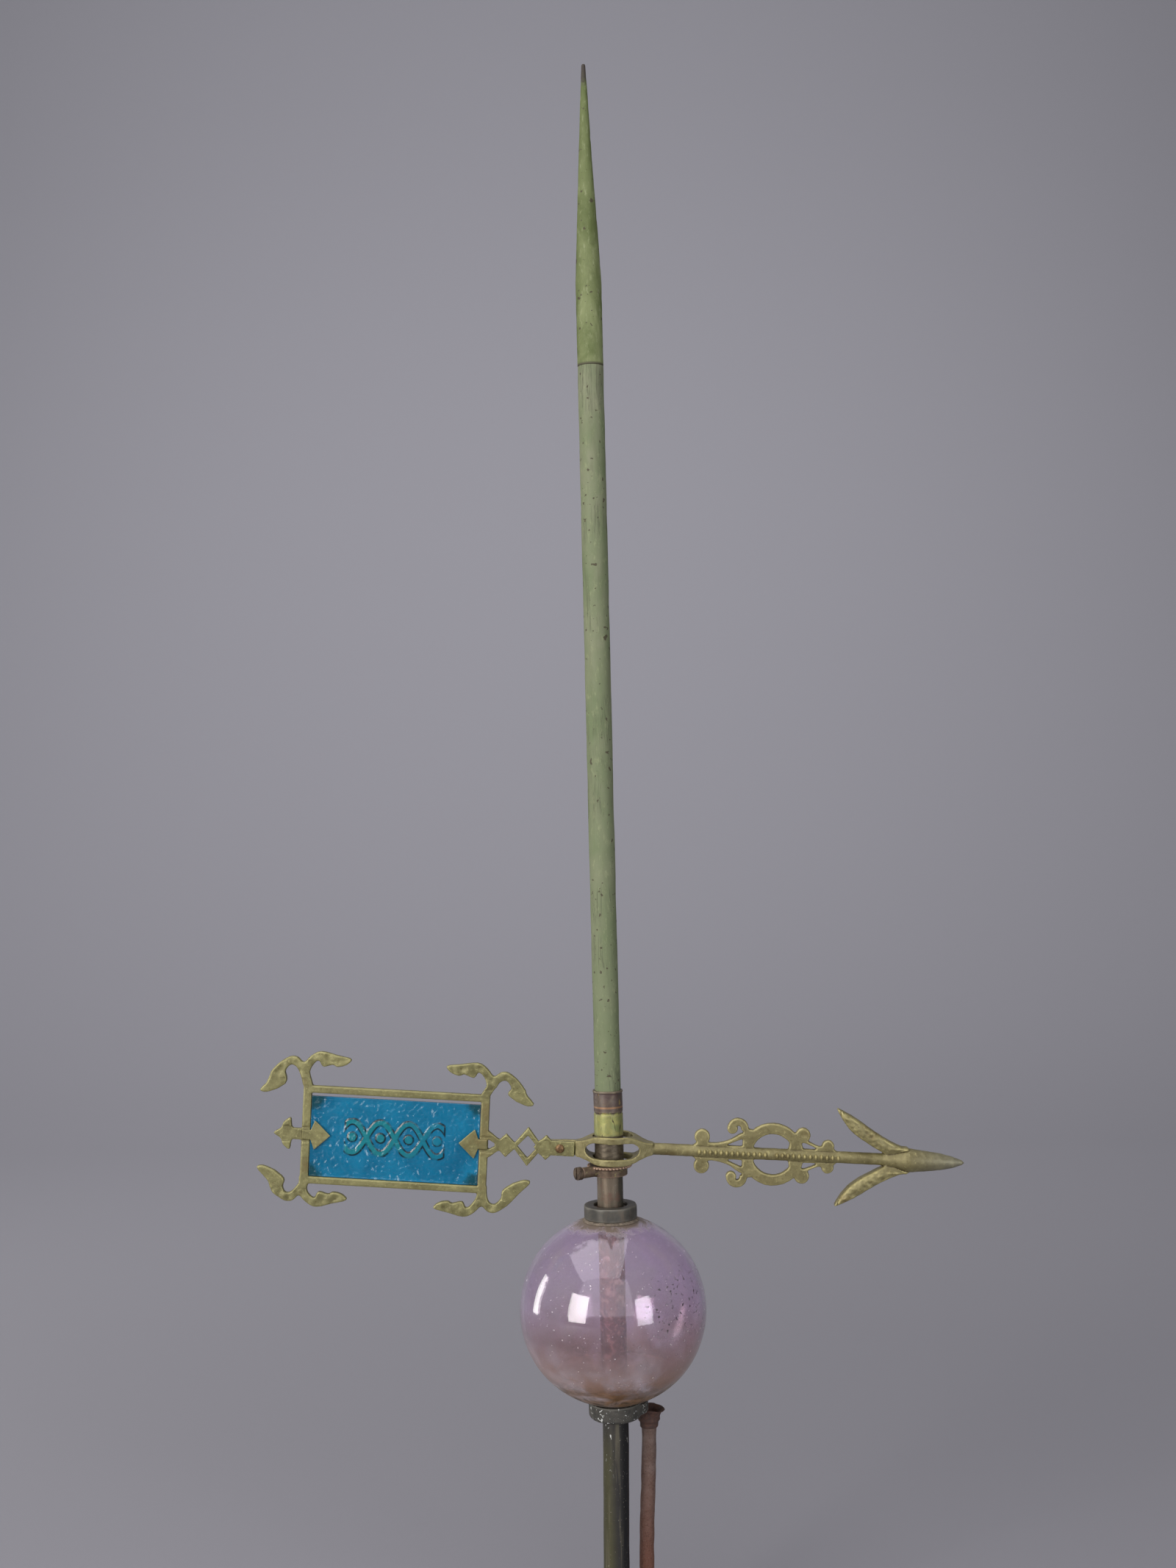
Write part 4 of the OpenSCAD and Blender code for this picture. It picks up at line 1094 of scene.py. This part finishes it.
# Raised oval beads along the front of the shaft, in two plain runs over the scroll plate.
bead_brass = old_brass("shaft_bead_brass", (158, 148, 100), (124, 114, 76), (194, 182, 122))
for run_name, run_start, run_end, run_count in (("near", 55 * MM, 95 * MM, 13),
                                                ("far", 102 * MM, 139 * MM, 12)):
    run = [shaft_frame @ Vector((run_start + (run_end - run_start) * t, -SHAFT_R + 0.1 * MM, 0))
           for t in (0, 0.5, 1)]
    shaft_beads = bead_row("shaft_beads_" + run_name, run, False, bead_brass.material, run_count,
                           1.35 * MM, 0.8, 1.25)
    mark_wear(shaft_beads, 1)
    bead_brass.coat_with(shaft_beads)
    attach(shaft_beads, "vane")


# ---------- tail frame ----------
# Thin brass casting with leaves over its corners, a finial and a diamond link to the hub.
# One rivet joins it to the arrow, and its leaves have been knocked out of true.
TAIL_BEND = math.radians(2.8)
RIVET_X = 30 * MM
RIVET_U = 101.8 * MM
PANE_HALF_W = 52.4 * MM
PANE_HALF_H = 25.7 * MM
BAR_W = 4.5 * MM
LEAF_ROOT = 5 * MM
ARM_CROWN = (1.4 * MM, 0.30 * MM)
LEAF_LUMP = 0.55 * MM
# Each corner's leaves have been knocked a little: side, top, shift along, shift up, turn in degrees
LEAF_KNOCKS = ((-1, 1, -2.0 * MM, 2.6 * MM, 1.0), (1, 1, 2.6 * MM, 0.2 * MM, -4.0),
               (-1, -1, -2.0 * MM, -0.2 * MM, 3.0), (1, -1, -0.8 * MM, -0.6 * MM, 0.0))

tail_matrix = (vane_frame @ Matrix.Translation((-RIVET_X, 0, 0)) @ Matrix.Rotation(TAIL_BEND, 4, "Y")
               @ Matrix.Translation((-RIVET_U, 0, 0)))
tail = cast_copy("tail_frame_casting", "tail_frame", 0.42 * MM, 2)
spots, facings = in_frame(tail, tail_matrix)
on_arms = np.abs(spots[:, 2]) > 5 * MM
inside_pane = (np.abs(spots[:, 0]) < PANE_HALF_W) & (np.abs(spots[:, 2]) < PANE_HALF_H)
spots[:, 1] = crowned(spots, facings, *ARM_CROWN, ~inside_pane & on_arms)
on_leaves = np.abs(spots[:, 2]) > PANE_HALF_H + BAR_W + 3 * MM
lump = [noise.noise(Vector((x, 0, z)) / (4.2 * MM)) for x, y, z in spots]
spots[:, 1] += np.sign(facings[:, 1]) * LEAF_LUMP * np.where(on_leaves, lump, 0)
for side, top, along, rise, turned in LEAF_KNOCKS:
    corner = (spots[:, 0] * side > 0) & (spots[:, 2] * top > 0)
    share = np.clip((spots[:, 2] * top - PANE_HALF_H - BAR_W) / LEAF_ROOT, 0, 1) * corner
    root_u = side * (PANE_HALF_W + BAR_W / 2)
    root_v = top * (PANE_HALF_H + BAR_W)
    from_root = spots[:, 0] - root_u, spots[:, 2] - root_v
    angle = math.radians(turned)
    spots[:, 0] += share * (along - angle * from_root[1])
    spots[:, 2] += share * (rise + angle * from_root[0])
put_back(tail, tail_matrix, spots)
mark_wear(tail, 8)
tail_brass = old_brass("tail_old_brass", (132, 128, 86), (102, 98, 63), (174, 168, 114))
tail_brass.coat_with(tail)
stand_in(tail, "vane", "tail_bronze", "tail_frame")


# ---------- glass pane ----------
# Rolled blue glass, pimpled all over, that stands in the tail frame a little short of its top.
# A raised ribbon of crossing waves and dots runs along its front, with dark painted outlines.
WAVE_HEIGHT = 9.5 * MM
WAVE_LENGTH = 35 * MM
RIBBON_HALF = 2.0 * MM
OUTLINE_HALF = 0.85 * MM
RIBBON_END = 31 * MM
DOT_R = 3.2 * MM
GRID_STEP = 0.45 * MM
PIMPLE_RISE = 0.26 * MM
RIPPLE_RISE = 0.10 * MM
RIBBON_RISE = 0.34 * MM
EDGE_SINK = 0.35 * MM
EDGE_FADE = 1.2 * MM
PANE_GAP = 0.3 * MM
PANE_SAG = 1.6 * MM


def to_ribbon(u, v):
    """Distance from a point of the pane to the nearest ribbon's or dot's edge, below 0 inside."""
    phase = 2 * math.pi * u / WAVE_LENGTH
    slope = math.hypot(1, WAVE_HEIGHT * 2 * math.pi / WAVE_LENGTH * math.cos(phase))
    waves = min(abs(v - s * WAVE_HEIGHT * math.sin(phase)) / slope for s in (-1, 1)) - RIBBON_HALF
    waves = max(waves, abs(u) - RIBBON_END)
    eye_u = WAVE_LENGTH / 2 * (math.floor(u / (WAVE_LENGTH / 2)) + 0.5)
    dot = math.hypot(u - eye_u, v) - DOT_R
    return min(waves, max(dot, abs(u) - RIBBON_END - 2 * MM))


pane_low, pane_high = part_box("glass_panel")
back = tail_matrix.inverted()
corners = [back @ Vector((x, y, z)) for x in (pane_low.x, pane_high.x)
           for y in (pane_low.y, pane_high.y) for z in (pane_low.z, pane_high.z)]
pane_front = min(c.y for c in corners)
pane_back = max(c.y for c in corners)
half_u = PANE_HALF_W - PANE_GAP
half_v = PANE_HALF_H - PANE_GAP
pane_top = half_v - PANE_SAG
columns = round(2 * half_u / GRID_STEP)
lines = round(2 * half_v / GRID_STEP)
pane_points = []
ribbon = []
corner_gap = []
for side, face_y in ((-1, pane_front), (1, pane_back)):
    for i in range(columns + 1):
        for j in range(lines + 1):
            u = -half_u + 2 * half_u * i / columns
            v = -half_v + (pane_top + half_v) * j / lines
            edge = min(half_u - abs(u), v + half_v, pane_top - v)
            fade = min(1, edge / EDGE_FADE)
            pimple = noise.noise(Vector((u, side * 9 * MM, v)) / (2.2 * MM))
            ripple = noise.noise(Vector((u, side * 30 * MM, v)) / (9 * MM))
            gap = to_ribbon(u, v)
            raised = min(1, max(0, -gap / (0.7 * MM))) if side < 0 else 0
            sink = PIMPLE_RISE * (1 - pimple) - RIPPLE_RISE * ripple + RIBBON_RISE * (1 - raised)
            sink = sink * fade + EDGE_SINK * (1 - fade)
            pane_points.append(tail_matrix @ Vector((u, face_y - side * sink, v)))
            ribbon.append(gap / MM if side < 0 else 9.0)
            corner_gap.append(math.hypot(half_u - abs(u), min(v + half_v, pane_top - v)) / MM)
step_up = lines + 1
face_count = (columns + 1) * step_up
pane_faces = []
for base in (0, face_count):
    for i in range(columns):
        for j in range(lines):
            a = base + i * step_up + j
            pane_faces.append((a, a + step_up, a + step_up + 1, a + 1))
rim = [i * step_up for i in range(columns + 1)]
rim += [columns * step_up + j for j in range(1, lines + 1)]
rim += [i * step_up + lines for i in range(columns - 1, -1, -1)]
rim += [j for j in range(lines - 1, 0, -1)]
for k, a in enumerate(rim):
    b = rim[(k + 1) % len(rim)]
    pane_faces.append((a, b, b + face_count, a + face_count))
pane = mesh_piece("glass_pane_rolled", pane_points, pane_faces)
store(pane, "ribbon", ribbon)
store(pane, "corner", corner_gap)
blue = Finish("rolled_blue_glass")
blue_cloud = blue.noise(36, 4, 0.55, 0.5)
blue_fine = blue.noise(420, 4, 0.6)
blue.ground(blue.mask(blue_cloud, 0.35, 0.65), (4, 104, 142), (18, 128, 168))
ribbon_gap = blue.stored("ribbon")
far_end = blue.mask(blue.axis("X"), -85 * MM, -135 * MM)
teal_share = blue.times(blue.mask(ribbon_gap, 0.1, -0.5), far_end)
blue.lay(teal_share, (24, 134, 138), 0.8)
outline_share = blue.maths("ABSOLUTE", blue.plus(ribbon_gap, 0.25))
outline_share = blue.mask(outline_share, OUTLINE_HALF / MM, 0.15)
broken = blue.specks(0.36, 0.50, 150, 4)
outline_share = blue.times(outline_share, broken)
blue.lay(outline_share, (4, 26, 34))
corner_edge = blue.plus(blue.stored("corner"), blue.times(blue.noise(260, 4), 9.0))
blue.lay(blue.mask(corner_edge, 14.0, 10.0), (14, 66, 70), 0.85)
# Painted highlight: small pale blue-white glints laid into the glass colour.
painted_glint = blue.mask(blue.noise(330, 3, 0.5, 0.0, blue.stretched(1.0, 1.0, 0.55, 0.5)), 0.66, 0.72)
blue.lay(painted_glint, (190, 222, 238), 0.5)
blue.bump(blue_fine, 0.25 * MM)
blue.coat_with(pane, Roughness=0.10, Transmission_Weight=0.30, IOR=1.5)
stand_in(pane, "vane", "pane_glass", "glass_panel")


# ---------- rivets and clips ----------
# Brown peened rivets join the tail to the arrow and the clips to the tail frame.
# The clips are thin spring brass strips that hold the pane in from behind.
rivet_brown = mottled("rivet_brown", (500, 5), 0.38, 0.62, (142, 112, 74), (92, 68, 46), 0.25 * MM)
for rivet_node in ("tail_rivet", "clip_rivets"):
    rivet = eased_copy(rivet_node + "_peened", rivet_node, 0.2 * MM)
    rivet_brown.coat_with(rivet, Metallic=0.5, Roughness=0.5)
    stand_in(rivet, "vane", "rivet_brown", rivet_node)

clips = eased_copy("panel_clips_cut", "panel_clips", 0.2 * MM)
clip_brass = mottled("clip_brass", (240, 5), 0.38, 0.64, (154, 144, 88), (108, 92, 56), 0.15 * MM)
clip_brass.coat_with(clips, Metallic=0.5, Roughness=0.48)
stand_in(clips, "vane", "clip_brass", "panel_clips")
